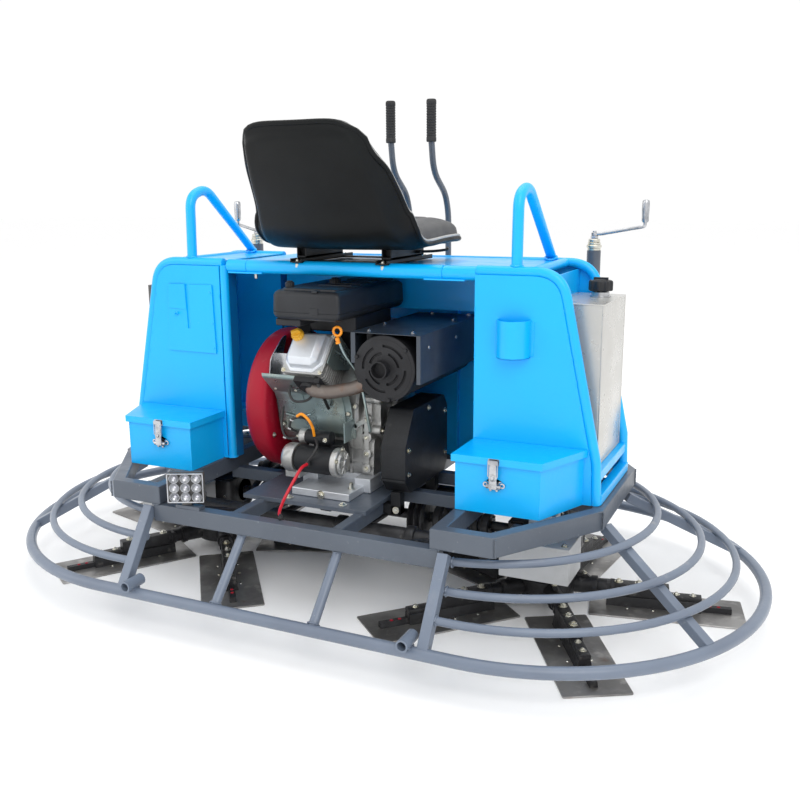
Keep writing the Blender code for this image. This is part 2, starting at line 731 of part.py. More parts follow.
def seat_half(t):
    """Half width of the seat along its centre line."""
    narrow = 1.0 - 0.12 * max(0.0, 1.0 - t / 0.12) ** 2
    return SEAT_HALF * narrow - (SEAT_HALF - SEAT_TOP_HALF) * max(0.0, (t - 0.46) / 0.54)


def seat_wing(t, s):
    """How far a point of the seat stands forward of the centre line's surface."""
    deep = 0.006 + SEAT_WING * ease((t - 0.34) / 0.22) - 0.58 * SEAT_WING * ease((t - 0.60) / 0.40)
    return deep * (0.40 * s * s + 0.60 * ease((abs(s) - 0.80) / 0.20))


def seat_layer(low, high, inset):
    """Slab that follows the seat curve; low and high are offsets along its normal."""
    first, last = [], []
    rows = SEAT_ROWS
    columns = SEAT_COLUMNS
    for i in range(rows + 1):
        t = i / rows
        for j in range(columns + 1):
            s = 2.0 * j / columns - 1.0
            u = t - SEAT_TOP_DROP * abs(s) ** 5 * ease((t - 0.72) / 0.28)
            y, z = seat_curve(u)
            y2, z2 = seat_curve(min(1.0, u + 0.01))
            y1, z1 = seat_curve(max(0.0, u - 0.01))
            along = Vector((y2 - y1, z2 - z1)).normalized()
            normal = Vector((along.y, -along.x))
            thin = 1.0 - 0.75 * max(0.0, abs(s) - 0.80) / 0.20
            thin *= 0.45 + 0.55 * min(1.0, min(t, 1.0 - t) / 0.08)
            for layer, offset in ((first, low), (last, low + (high - low) * thin)):
                shift = normal * (offset + seat_wing(t, s))
                layer.append((s * (seat_half(t) - inset), y + shift.x, z + shift.y))
    count = columns + 1
    verts = first + last
    total = len(first)
    faces = []
    for i in range(rows):
        for j in range(columns):
            a = i * count + j
            faces.append((a, a + count, a + count + 1, a + 1))
            faces.append((total + a, total + a + 1, total + a + count + 1, total + a + count))
    rim = [j for j in range(count)]
    rim += [i * count + columns for i in range(1, rows + 1)]
    rim += [rows * count + j for j in range(columns - 1, -1, -1)]
    rim += [i * count for i in range(rows - 1, 0, -1)]
    for a, b in zip(rim, rim[1:] + rim[:1]):
        faces.append((a, b, total + b, total + a))
    return verts, faces


def seat_rails():
    low = TOP_RAIL_TOP + CLEAR
    solids = []
    for side in (-1, 1):
        x = side * SEAT_RAIL_X
        solids.append(box(x - 0.016, x + 0.016, -0.158, 0.110, low, low + 0.010))
    for y in (-0.115, 0.060):
        solids.append(box(-SEAT_RAIL_X, SEAT_RAIL_X, y - 0.015, y + 0.015, low + 0.001, low + 0.008))
    return solids


def seat_slides():
    """Upper runners under the seat shell, joined to it."""
    low = TOP_RAIL_TOP + 2 * CLEAR + 0.010
    return [
        box(side * SEAT_RAIL_X - 0.013, side * SEAT_RAIL_X + 0.013, -0.130, 0.060, low, SLIDE_TOP)
        for side in (-1, 1)
    ]


# ---- handles, levers, cranks --------------------------------------------
def handle(side):
    foot = TOWER_TOP - 0.0006
    path = rounded([
        (side * HANDLE_X, -0.138, foot), (side * HANDLE_X, -0.134, TOWER_TOP + HANDLE_RISE[0]),
        (side * HANDLE_X, -0.068, TOWER_TOP + HANDLE_RISE[1]), (side * HANDLE_X, 0.138, foot),
    ], 0.045, 4)
    solid = tube(path, HANDLE_TUBE, 8, up=(1, 0, 0))
    count = len(solid[0])
    verts = []
    for i, v in enumerate(solid[0]):
        z = foot if (i < 8 or i >= count - 8) else v[2]
        verts.append((v[0], v[1], z))
    return [(verts, solid[1])]


def lever(side):
    x = side * LEVER_X
    path = rounded([
        (x, LEVER_Y, LEVER_Z), (x, LEVER_Y, 0.935), (x, 0.378, 0.974),
        (x, 0.288, 1.042), (x, 0.270, 1.130),
    ], 0.03, 3)
    rod = tube(path, LEVER_ROD, 8, up=(1, 0, 0))
    grip = tube([(x, 0.2700, 1.122), (x, 0.2700, LEVER_TOP - 0.004), (x, 0.2700, LEVER_TOP)],
                GRIP_RADIUS, 10, up=(1, 0, 0))
    boss = drum((x, LEVER_Y, LEVER_Z), "x", 0.018, -0.012, 0.012, 12)
    return [rod, grip, boss]


def lever_stand():
    low = FOOT_TOP + CLEAR
    solids = [box(-0.110, 0.110, LEVER_Y - 0.030, LEVER_Y + 0.030, low, low + 0.008)]
    for side in (-1, 1):
        for offset in (-0.0168, 0.0168):
            x = side * LEVER_X + offset
            solids.append(box(x - 0.0045, x + 0.0045, LEVER_Y - 0.020, LEVER_Y + 0.020, low, 0.352))
        pin = drum((side * LEVER_X, LEVER_Y, LEVER_Z), "x", 0.006, -0.024, 0.024, 10)
        solids.append(pin)
    return solids


def lever_bores():
    return [drum((0, LEVER_Y, LEVER_Z), "x", 0.0063, -0.2, 0.2, 10)]


def pitch_post(side):
    x = side * PITCH_X
    centre = (x, PITCH_Y, 0.0)
    foot = 0.313
    solids = [
        drum(centre, "z", PITCH_TUBE, foot, PITCH_TOP, 12),
        drum(centre, "z", 0.0155, PITCH_TOP - 0.002, PITCH_TOP + 0.012, 12),
        drum(centre, "z", 0.0185, PITCH_TOP + 0.010, PITCH_TOP + 0.018, 12),
        drum(centre, "z", 0.0145, PITCH_TOP + 0.016, PITCH_TOP + 0.030, 12),
    ]
    reach = sorted((x - side * 0.075, x + side * 0.052))
    # foot plate across the side frame and a stay to the front of the tower
    solids.append(box(reach[0], reach[1], PITCH_Y - 0.045, PITCH_Y + 0.045, BOX_LOW, BOX_LOW + 0.007))
    stay = sorted((x - 0.012, x + 0.012))
    solids.append(box(stay[0], stay[1], PANEL_Y + CLEAR, PITCH_Y, 0.740, 0.758))
    return solids


def crank(side, direction):
    x = side * PITCH_X
    centre = Vector((x, PITCH_Y, CRANK_Z))
    low = PITCH_TOP + 0.030 + CLEAR
    hub = drum((x, PITCH_Y, 0.0), "z", 0.0095, low, CRANK_Z + 0.008, 10)
    reach = Vector((direction[0], direction[1], 0.0)).normalized() * CRANK_ARM
    knee = centre + reach + Vector((0, 0, 0.020))
    path = [tuple(centre), tuple(centre + reach * 0.12), tuple(knee), tuple(knee + Vector((0, 0, 0.012)))]
    path.append(tuple(knee + Vector((0, 0, 0.066))))
    arm = tube(rounded(path, 0.008, 2), CRANK_ROD, 6, up=(0.3, 0.5, 0.0))
    return [hub, arm], knee


def crank_grip(knee):
    low = knee.z + 0.010
    centre = (knee.x, knee.y, 0.0)
    inner = CRANK_ROD + CLEAR * 1.4
    profile = [
        (inner, low + 0.054), (0.0085, low + 0.054), (0.0095, low + 0.046),
        (0.0085, low + 0.006), (0.0070, low), (inner, low),
    ]
    solid = lathe(profile, centre, "z", 10)
    verts, faces = solid[0], solid[1][:-2]
    top = [i for i in range(10)]
    base = [50 + i for i in range(10)]
    for j in range(10):
        k = (j + 1) % 10
        faces.append((top[j], top[k], base[k], base[j]))
    return verts, faces


# ---- engine -------------------------------------------------------------
def bank_place(x, sign):
    return Matrix.Translation((x, CRANK_Y, CRANK_HEIGHT)) @ Matrix.Rotation(sign * math.radians(BANK), 4, "X")


def cylinder_bank(x, sign):
    """Barrel, head and valve cover of one leaning cylinder."""
    turn = bank_place(x, sign)
    barrel = moved(box(-0.052, 0.052, -0.052, 0.052, 0.06, 0.165), turn)
    head = moved(box(-0.058, 0.058, -0.060, 0.060, 0.160, 0.232), turn)
    cover = moved(box(-0.050, 0.050, -0.052, 0.052, 0.228, COVER_END), turn)
    return [barrel, head, cover]


def engine_block():
    low = PLATE_TOP + CLEAR
    y = CRANK_Y
    solids = [box(-0.105, 0.100, y - 0.118, y + 0.118, low + 0.030, 0.505)]
    solids.append(drum((0.0, y, CRANK_HEIGHT), "x", 0.128, -0.188, 0.048, 20))
    solids += cylinder_bank(REAR_BANK_X, 1)
    solids += cylinder_bank(FRONT_BANK_X, -1)
    for x in (-0.085, 0.062):
        solids.append(box(x - 0.022, x + 0.022, y - 0.150, y + 0.150, low, low + 0.036))
    solids.append(box(-0.050, 0.055, y - 0.060, y + 0.060, 0.50, 0.660))
    solids.append(drum((0.0, y, CRANK_HEIGHT), "x", 0.017, 0.10, 0.140, 12))
    return solids


def blower():
    inner, outer = BLOWER_X[1], BLOWER_X[0]
    profile = [
        (BLOWER_RADIUS - 0.004, inner), (BLOWER_RADIUS, inner - 0.010),
        (BLOWER_RADIUS, outer + 0.030), (BLOWER_RADIUS - 0.020, outer + 0.008),
        (0.110, outer), (0.100, outer + 0.006), (0.0, outer + 0.006),
    ]
    return lathe(profile, (0.0, CRANK_Y, CRANK_HEIGHT), "x", 28)


def air_cleaner():
    lower = box(-0.118, 0.036, -0.140, 0.060, 0.6605, 0.702)
    outline = [
        (-0.250, 0.712), (-0.236, 0.700), (0.100, 0.700), (0.112, 0.712),
        (0.112, 0.760), (0.098, 0.774), (-0.238, 0.774), (-0.250, 0.762),
    ]
    upper = prism(outline, "x", -0.137, 0.050)
    knob = drum((-0.045, -0.090, 0.0), "z", 0.015, 0.770, 0.788, 12)
    return [upper, lower, knob]


def muffler():
    x, z = MUFFLER_X, MUFFLER_Z
    body = lathe([
        (0.0, MUFFLER_Y[1]), (MUFFLER_RADIUS - 0.006, MUFFLER_Y[1]), (MUFFLER_RADIUS, MUFFLER_Y[1] - 0.006),
        (MUFFLER_RADIUS, MUFFLER_Y[0] + 0.006), (MUFFLER_RADIUS - 0.006, MUFFLER_Y[0]), (0.0, MUFFLER_Y[0]),
    ], (x, 0.0, z), "y", 24)
    pipe = drum((x - 0.014, 0.0, z - 0.002), "y", 0.021, MUFFLER_Y[0] - 0.016, MUFFLER_Y[0] + 0.03, 14)
    bore = drum((x - 0.014, 0.0, z - 0.002), "y", 0.017, MUFFLER_Y[0] - 0.05, MUFFLER_Y[0] + 0.02, 14)
    return [body, pipe], [bore]


def heat_shield():
    low = MUFFLER_Z + MUFFLER_RADIUS + SHIELD_GAP[1]
    high = low + SHIELD_SHEET
    out = MUFFLER_X + MUFFLER_RADIUS + SHIELD_GAP[0]
    back = MUFFLER_Y[1] + 0.0005
    top = box(SHIELD_IN, out, SHIELD_Y[0], SHIELD_Y[1], low, high)
    side = box(out - SHIELD_SHEET, out, SHIELD_Y[0], SHIELD_Y[1], SHIELD_LOW, high - 0.001)
    rear = box(SHIELD_IN + 0.0185, out - 0.001, back, back + 0.0025, SHIELD_LOW, high - 0.001)
    rim = box(SHIELD_IN + 0.0185, out - 0.001, SHIELD_Y[1] - 0.006, back + 0.0025, low, high)
    return [top, side, rear, rim]


def exhaust_pipe():
    """Pipe from the rear head to the silencer, trimmed to both."""
    path = rounded([
        (-0.060, -0.196, 0.560), (-0.052, -0.226, 0.524), (0.000, -0.222, 0.524),
        (0.060, -0.196, 0.538), (0.110, -0.170, 0.560),
    ], 0.03, 3)
    trims = [
        moved(box(-0.0583, 0.0583, -0.0603, 0.0603, 0.05, 0.2323), bank_place(REAR_BANK_X, 1)),
        drum((MUFFLER_X, 0.0, MUFFLER_Z), "y", MUFFLER_RADIUS + CLEAR, -0.30, 0.10, 24),
    ]
    return [tube(path, 0.0150, 10)], trims


def oil_cap():
    """Filler cap square to the rear valve cover."""
    place = bank_place(REAR_BANK_X, 1)
    centre = (-0.022, 0.026, 0.0)
    low = COVER_END + CLEAR
    wide = drum(centre, "z", 0.015, low, low + 0.014, 12)
    knob = drum(centre, "z", 0.008, low + 0.012, low + 0.024, 8)
    origin = place @ Vector((centre[0], centre[1], low))
    return [moved(wide, place), moved(knob, place)], tuple(origin)


def starter():
    centre = (0.0, -0.206, 0.352)
    return [
        drum(centre, "x", 0.037, -0.118, 0.020, 16),
        drum(centre, "x", 0.0300, -0.134, -0.110, 16),
        drum((0.0, -0.186, 0.404), "x", 0.019, -0.098, -0.010, 12),
        box(-0.060, 0.020, -0.190, -0.1386, 0.330, 0.390),
    ]


def belt_guard():
    """Cover over the belt, open toward the engine, with a post down to the frame."""
    body = prism(GUARD_OUTLINE, "x", GUARD_X[0], GUARD_X[1])
    wall = 0.003
    inner = [(-0.068 + (y + 0.068) * 0.976, 0.387 + (z - 0.387) * 0.970) for y, z in GUARD_OUTLINE]
    cavity = prism(inner, "x", GUARD_X[0] - 0.01, GUARD_X[1] - wall)
    mouth = box(GUARD_X[0] - 0.01, GUARD_X[1] - wall, -0.085, 0.050, 0.27, 0.30)
    post = box(0.146, 0.172, -0.186, -0.160, 0.232, 0.288)
    bar_face = CROSS_X[1] + CROSS_HALF + CLEAR
    foot = box(bar_face, 0.172, -0.186, -0.160, 0.232, 0.256)
    return [body, post, foot], [cavity, mouth]


def drive_shaft():
    centre = (0.0, 0.0, SHAFT_Z)
    end = ROTOR_X - 0.080 - CLEAR
    return [
        drum(centre, "x", 0.013, -end, end, 12),
        drum(centre, "x", 0.064, 0.132, 0.176, 20),
        drum(centre, "x", 0.036, 0.190, 0.236, 14),
        drum(centre, "x", 0.032, 0.290, 0.340, 14),
        drum(centre, "x", 0.032, -0.340, -0.290, 14),
        drum(centre, "x", 0.026, -0.150, -0.118, 12),
    ]


def gearbox(side):
    x = side * ROTOR_X
    solids = [
        box(x - 0.080, x + 0.080, -0.072, 0.072, 0.128, 0.214),
        drum((x, 0.0, 0.0), "z", 0.060, 0.105, 0.130, 16),
        drum((x, 0.0, 0.0), "z", 0.030, 0.0862, 0.110, 14),
        drum((x, 0.0, 0.0), "z", 0.052, 0.212, 0.240, 16),
    ]
    for y in (-HANGER_Y, HANGER_Y):
        solids.append(box(x - 0.030, x + 0.030, y - 0.013, y + 0.013, 0.190, 0.272 - CLEAR))
    solids.append(box(x - 0.030, x + 0.030, -HANGER_Y, HANGER_Y, 0.190, 0.212))
    return solids


def cover_box(side):
    a, b = sorted((side * 0.430, side * 0.592))
    body = box(a, b, -0.212, -0.0983, 0.134, 0.221)
    neck = box(a + 0.050, b - 0.050, -0.150, -0.0983, 0.215, 0.2715)
    return [body, neck]


# ---- rotors -------------------------------------------------------------
def spider(side):
    x = side * ROTOR_X
    hub = lathe([
        (0.0, 0.0858), (0.040, 0.0858), (0.052, 0.078), (HUB_RADIUS, 0.070),
        (HUB_RADIUS, 0.026), (0.060, 0.020), (0.0, 0.020),
    ], (x, 0.0, 0.0), "z", 20)
    solids = [hub]
    cuts = []
    for angle in blade_angles(side):
        direction = Vector((math.cos(angle), math.sin(angle), 0.0))
        start = Vector((x, 0.0, ARM_Z)) + direction * 0.030
        end = Vector((x, 0.0, ARM_Z)) + direction * SOCKET_END
        solids.append(tube([start, end], 0.0215, 8, turn=math.pi / 8))
        inner = Vector((x, 0.0, ARM_Z)) + direction * 0.080
        cuts.append(tube([inner, end + direction * 0.02], ARM_RADIUS + ARM_CLEAR, 16))
    return solids, cuts


def blade_angles(side):
    first = RIGHT_FIRST if side > 0 else LEFT_FIRST
    return [math.radians(first + 360.0 / BLADES * i) for i in range(BLADES)]


def blade(side, angle):
    """Trowel arm with its blade, drawn along +X and turned to its direction."""
    foot = BLADE_SHEET
    sheet = box(BLADE_IN, BLADE_OUT, -BLADE_HALF, BLADE_HALF, 0.0, foot)
    rib = [(-0.030, foot - 0.001), (0.030, foot - 0.001), (0.019, 0.030), (-0.019, 0.030)]
    spine = prism(rib, "x", SOCKET_END + 0.022, BLADE_OUT - 0.050)
    arm = box(SOCKET_END + 0.016, 0.296, -0.0155, 0.0155, 0.0285, 0.061)
    shank = tube([(0.083, 0.0, ARM_Z), (0.160, 0.0, ARM_Z)], ARM_RADIUS, 10)
    collar = tube([(SOCKET_END + CLEAR, 0.0, ARM_Z), (0.150, 0.0, ARM_Z)], 0.0185, 8, turn=math.pi / 8)
    bolts = []
    for x in (0.178, 0.226, 0.272):
        bolts.append(drum((x, 0.0, 0.0), "z", 0.0075, 0.0605, 0.068, 6))
    place = Matrix.Translation((side * ROTOR_X, 0.0, 0.0)) @ Matrix.Rotation(angle, 4, "Z")
    return [moved(s, place) for s in [sheet, spine, arm, shank, collar] + bolts]


# ---- assembly -----------------------------------------------------------
def build():
    clear_scene()
    add("main_frame", FRAME, main_frame())
    add("outer_guard_ring", FRAME, outer_ring(), cuts=stub_bores(), round_piece=True)
    for side, word in ((-1, "left"), (1, "right")):
        add(word + "_guard_cage", FRAME, cage(side), round_piece=True)
    left_plate, left_slot = left_extras()
    right_shell, right_hollow = right_extras()
    add("left_tower", BLUE, tower(-1) + [left_plate], cuts=[left_slot], round_piece=True)
    add("right_tower", BLUE, tower(1) + [right_shell], cuts=[right_hollow], round_piece=True)
    add("seat_deck", BLUE, seat_deck())
    add("front_panel", BLUE, front_panel())
    add("fuel_tank", TANK_GREY, tank(1), round_piece=True)
    add("water_tank", DARK_GREY, tank(-1), round_piece=True)
    add("fuel_cap", BLACK, fuel_cap(), origin=(*CAP_AT, TANK_TOP + 0.012))
    for side, word in ((-1, "left"), (1, "right")):
        add(word + "_handle", BLUE, handle(side), round_piece=True)
        solids, cuts = tool_box(side)
        add(word + "_tool_box", BLUE, solids, cuts=cuts)
        solids, cuts = lid(side)
        add(word + "_box_lid", BLUE, solids, origin=(side * 0.45, BOX_FRONT, LID_TOP), cuts=cuts)
        solids, pivot = latch(side)
        add(word + "_box_latch", CHROME, solids, origin=pivot)
    yaw = math.radians(25.0)
    centre = Vector((-0.278, -0.415, 0.3165))
    place = Matrix.Translation(centre) @ Matrix.Rotation(yaw, 4, "Z")
    lamp = moved(box(-0.043, 0.043, -0.018, 0.018, -0.036, 0.037), place)
    yoke = moved(box(-0.012, 0.012, -0.010, 0.010, -0.0442, -0.030), place)
    add("work_light", CHROME, [lamp, yoke], origin=tuple(centre))

    add("seat_rails", BLACK, seat_rails())
    shell = seat_layer(0.0, SEAT_SHELL, 0.0)
    add("seat_shell", BLACK, [shell] + seat_slides(), round_piece=True)
    pad = seat_layer(SEAT_SHELL + SEAT_GAP, SEAT_SHELL + CUSHION, CUSHION_INSET)
    add("seat_cushion", VINYL, [pad], round_piece=True)

    add("lever_stand", DARK_GREY, lever_stand())
    for side, word in ((-1, "left"), (1, "right")):
        add(word + "_lever", DARK_GREY, lever(side), origin=(side * LEVER_X, LEVER_Y, LEVER_Z),
            cuts=lever_bores(), round_piece=True)
        add(word + "_pitch_post", FRAME, pitch_post(side), round_piece=True)
        direction = (1.0, 0.0) if side > 0 else (0.15, -0.99)
        solids, knee = crank(side, direction)
        add(word + "_pitch_crank", STEEL, solids, origin=(side * PITCH_X, PITCH_Y, CRANK_Z), round_piece=True)
        add(word + "_crank_grip", STEEL, [crank_grip(knee)], origin=tuple(knee), round_piece=True)

    add("engine_block", CAST, engine_block(), round_piece=True)
    add("blower_housing", RED, [blower()], round_piece=True)
    add("air_cleaner", BLACK, air_cleaner())
    solids, cuts = muffler()
    add("muffler", BLACK, solids, cuts=cuts, round_piece=True)
    add("heat_shield", BLACK, heat_shield())
    solids, cuts = exhaust_pipe()
    add("exhaust_pipe", STEEL, solids, cuts=cuts, round_piece=True)
    add("starter_motor", CAST, starter(), round_piece=True)
    solids, origin = oil_cap()
    add("oil_cap", YELLOW, solids, origin=origin, round_piece=True)
    stick = [
        (0.072, CRANK_Y - 0.1223, 0.420), (0.066, -0.158, 0.500), (0.056, -0.166, 0.565),
        (0.032, -0.196, 0.620), (0.020, -0.203, 0.6600),
    ]
    x, y, z = stick[-1]
    loop = []
    for a in range(0, 360, 36):
        turn = math.radians(a)
        loop.append((x + 0.011 * math.sin(turn), y, z + 0.013 - 0.011 * math.cos(turn)))
    add("dipstick", ORANGE,
        [tube(rounded(stick, 0.02, 2), 0.004, 6), tube(loop, 0.003, 6, closed=True, up=(0, 1, 0))],
        origin=stick[-1], round_piece=True)
    solids, cuts = belt_guard()
    add("belt_guard", BLACK, solids, cuts=cuts)
    wire = rounded([
        (-0.046, -0.2435, 0.352), (-0.046, -0.275, 0.352), (-0.050, -0.300, 0.330),
        (-0.064, -0.325, 0.290), (-0.052, -0.372, 0.2695), (-0.030, -0.402, 0.2687),
    ], 0.03, 3)
    add("battery_cable", CABLE, [tube(wire, 0.0042, 6)], round_piece=True)

    add("drive_shaft", STEEL, drive_shaft(), origin=(0.0, 0.0, SHAFT_Z), round_piece=True)
    for side, word in ((-1, "left"), (1, "right")):
        add(word + "_gearbox", DARK_GREY, gearbox(side), round_piece=True)
        add(word + "_cover_box", PALE, cover_box(side))
        solids, cuts = spider(side)
        axis = (side * ROTOR_X, 0.0, ARM_Z)
        add(word + "_spider", DARK_GREY, solids, origin=axis, cuts=cuts, round_piece=True)
        for i, angle in enumerate(blade_angles(side)):
            add(word + "_blade_" + str(i + 1), STEEL, blade(side, angle), origin=axis)


build()
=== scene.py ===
"""Looks of the ride-on power trowel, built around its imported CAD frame.

Metres, +Z up, +X to the driver's right, +Y the way the driver faces.
"""
import math

import bmesh
import bpy
from mathutils import Matrix, Vector


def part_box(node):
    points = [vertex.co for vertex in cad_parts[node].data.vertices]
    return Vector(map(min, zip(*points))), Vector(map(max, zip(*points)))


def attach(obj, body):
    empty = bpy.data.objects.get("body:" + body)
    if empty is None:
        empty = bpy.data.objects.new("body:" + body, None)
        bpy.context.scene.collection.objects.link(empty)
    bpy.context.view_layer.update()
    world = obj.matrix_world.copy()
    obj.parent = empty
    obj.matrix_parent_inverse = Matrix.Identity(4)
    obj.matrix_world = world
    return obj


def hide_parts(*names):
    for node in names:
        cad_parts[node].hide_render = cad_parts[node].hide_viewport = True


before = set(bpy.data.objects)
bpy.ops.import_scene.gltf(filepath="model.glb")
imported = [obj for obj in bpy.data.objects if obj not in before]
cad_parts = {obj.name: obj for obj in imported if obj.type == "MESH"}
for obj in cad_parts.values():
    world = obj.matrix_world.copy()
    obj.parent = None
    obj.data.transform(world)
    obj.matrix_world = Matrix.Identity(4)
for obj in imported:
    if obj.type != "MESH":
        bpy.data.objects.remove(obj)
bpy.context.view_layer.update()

# ---- sizes, from the CAD where a node gives them ------------------------
RAIL_Y = 0.414
RAIL_HALF = 0.016
RAIL_LOW = 0.222
RAIL_TOP = 0.264
RAIL_END = 0.3702
BOX_TOP = 0.309
CROSS_X = (-0.155, 0.113)
CROSS_HALF = 0.0125
CROSS_LOW = 0.228
HANGER_Y = 0.085
HANGER_HALF = 0.014
RING_RADIUS = 0.542
RING_HEIGHT = 0.085
RING_TUBE = 0.0135
RING_X = 0.45
ROTOR_X = 0.482
STEP_RINGS = (
    (0.5, 0.5, 0.424, 0.1425),
    (0.456, 0.445, 0.388, 0.184),
    (0.402, 0.412, 0.338, 0.2355),
)
STEP_TUBE = 0.009
SPOKE_X = 0.383
SPOKE_HALF = 0.0122
MID_SPOKE_X = 0.126
MID_SPOKE_RADIUS = 0.011
SIDE_SPOKE_ANGLE = math.radians(32.2)
SIDE_SPOKE_IN = (0.65, 0.118)
STUB_X = 0.35
STUB_RADIUS = 0.0135
STUB_BORE = 0.0098
PANEL_Y = 0.156
SHEET = 0.004
TOWER_TOP = 0.832
TOWER_IN = 0.346
RIM = 0.0115
DECK_X = 0.3215
LID_Y = 0.301
LID_TOP = 0.437
LID_DEPTH = 0.016
LIP = 0.007
LATCH_X = 0.445
SEAT_HALF = 0.213
SEAT_TOP_HALF = 0.152
CRANK_Y = -0.02
CRANK_Z = 0.46
BANK = math.radians(48.0)
REAR_BANK_X = -0.068
FRONT_BANK_X = -0.01
ARM_Z = 0.046
BLADES = 5
FIRST_BLADE = {1: math.radians(-61.0), -1: math.radians(-52.0)}
SIDES = ((-1, "left"), (1, "right"))


# ---- directions ---------------------------------------------------------
UP, DOWN = (0, 0, 1), (0, 0, -1)
RIGHT, LEFT = (1, 0, 0), (-1, 0, 0)
AHEAD, REAR = (0, 1, 0), (0, -1, 0)


# ---- solids -------------------------------------------------------------
def box(x0, x1, y0, y1, z0, z1):
    """Block between two corners."""
    verts = [(x, y, z) for x in (x0, x1) for y in (y0, y1) for z in (z0, z1)]
    faces = [(0, 1, 3, 2), (4, 6, 7, 5), (0, 4, 5, 1), (2, 3, 7, 6), (0, 2, 6, 4), (1, 5, 7, 3)]
    return verts, faces


def rect(a0, a1, b0, b1):
    """Rectangular outline between two corners."""
    return [(a0, b0), (a1, b0), (a1, b1), (a0, b1)]


def loft(loops, closed=False):
    """Closed solid through loops of equal length."""
    count = len(loops[0])
    verts = [tuple(point) for loop in loops for point in loop]
    faces = []
    for i in range(len(loops) if closed else len(loops) - 1):
        a = i * count
        b = ((i + 1) % len(loops)) * count
        for j in range(count):
            k = (j + 1) % count
            faces.append((a + j, a + k, b + k, b + j))
    if not closed:
        faces.append(tuple(range(count)))
        last = (len(loops) - 1) * count
        faces.append(tuple(last + j for j in reversed(range(count))))
    return verts, faces


def prism(outline, axis, low, high):
    """Outline drawn out along an axis from low to high."""
    place = {
        "x": lambda a, b, h: (h, a, b),
        "y": lambda a, b, h: (a, h, b),
        "z": lambda a, b, h: (a, b, h),
    }[axis]
    return loft([[place(a, b, h) for a, b in outline] for h in (low, high)])


def fillet(outline, radius, steps=5):
    """Closed outline with each corner rounded off."""
    result = []
    count = len(outline)
    for i in range(count):
        before, here, after = (Vector(outline[(i + k) % count]) for k in (-1, 0, 1))
        reach = min(radius, (here - before).length * 0.48, (after - here).length * 0.48)
        start = here + (before - here).normalized() * reach
        end = here + (after - here).normalized() * reach
        for k in range(steps + 1):
            t = k / steps
            result.append(tuple(start * (1 - t) ** 2 + here * 2 * t * (1 - t) + end * t * t))
    return result


def rounded(points, radius, steps=6):
    """Open path with its inner corners rounded off."""
    path = [Vector(p) for p in points]
    result = [tuple(path[0])]
    for before, here, after in zip(path, path[1:], path[2:]):
        reach = min(radius, (here - before).length * 0.45, (after - here).length * 0.45)
        start = here + (before - here).normalized() * reach
        end = here + (after - here).normalized() * reach
        for i in range(steps + 1):
            t = i / steps
            result.append(tuple(start * (1 - t) ** 2 + here * 2 * t * (1 - t) + end * t * t))
    result.append(tuple(path[-1]))
    return result


def tube(points, radius, sides=20, closed=False, up=UP, turn=0.0):
    """Round bar along a path; radius is a number or a function of the place along it."""
    path = [Vector(p) for p in points]
    count = len(path)
    loops = []
    for i in range(count):
        before = path[i - 1] if (i > 0 or closed) else path[i] * 2 - path[i + 1]
        after = path[(i + 1) % count] if (i < count - 1 or closed) else path[i] * 2 - path[i - 1]
        ahead = (after - path[i]).normalized()
        behind = (path[i] - before).normalized()
        tangent = (ahead + behind).normalized()
        side = tangent.cross(Vector(up))
        if side.length < 0.05:
            side = tangent.cross(Vector((0.0, 1.0, 0.0)))
        side.normalize()
        top = side.cross(tangent).normalized()
        size = radius(i / (count - 1)) if callable(radius) else radius
        stretch = 1.0 / max(0.5, tangent.dot(ahead))
        bend = ahead - behind
        loop = []
        for j in range(sides):
            angle = 2.0 * math.pi * j / sides + turn
            offset = side * math.cos(angle) * size + top * math.sin(angle) * size
            if bend.length > 1e-5:
                out = bend.normalized()
                offset += out * offset.dot(out) * (stretch - 1.0)
            loop.append(path[i] + offset)
        loops.append(loop)
    return loft(loops, closed)


def bar(start, end, half, up=UP):
    """Square bar between two points."""
    return tube([start, end], half * math.sqrt(2.0), 4, up=up, turn=math.pi / 4.0)


def moved(solid, matrix):
    """Copy of a solid under a matrix, kept right side out when mirrored."""
    verts, faces = solid
    new = [tuple(matrix @ Vector(v)) for v in verts]
    if matrix.determinant() < 0:
        faces = [tuple(reversed(f)) for f in faces]
    return new, faces


def mirrored(solid, side):
    """Solid drawn for the right side, mirrored onto the left when side is -1."""
    return solid if side > 0 else moved(solid, Matrix.Scale(-1.0, 4, Vector((1.0, 0.0, 0.0))))


def aim(at, direction):
    """Placement whose +Z points along a direction."""
    turn = Vector(UP).rotation_difference(Vector(direction).normalized())
    return Matrix.Translation(Vector(at)) @ turn.to_matrix().to_4x4()


def spin(profile, at, direction, steps=28):
    """Turned solid: profile of (radius, height), closed at radius 0, about a direction."""
    verts = []
    rows = []
    for radius, height in profile:
        turns = 1 if radius < 1e-6 else steps
        row = []
        for j in range(turns):
            angle = 2.0 * math.pi * j / steps
            row.append(len(verts))
            verts.append((radius * math.cos(angle), radius * math.sin(angle), height))
        rows.append(row)
    faces = []
    for upper, lower in zip(rows, rows[1:]):
        for j in range(steps):
            k = (j + 1) % steps
            corners = [upper[j % len(upper)], lower[j % len(lower)]]
            corners += [lower[k % len(lower)], upper[k % len(upper)]]
            face = list(dict.fromkeys(corners))
            if len(face) > 2:
                faces.append(tuple(face))
    if len(rows[0]) > 1:
        faces.append(tuple(rows[0]))
    if len(rows[-1]) > 1:
        faces.append(tuple(reversed(rows[-1])))
    return moved((verts, faces), aim(at, direction))


def drum(at, direction, radius, low, high, edge=0.0, steps=28):
    """Cylinder with chamfered ends."""
    edge = min(edge, radius * 0.5, (high - low) * 0.4)
    return spin([
        (radius - edge, high), (radius, high - edge), (radius, low + edge), (radius - edge, low),
    ], at, direction, steps)


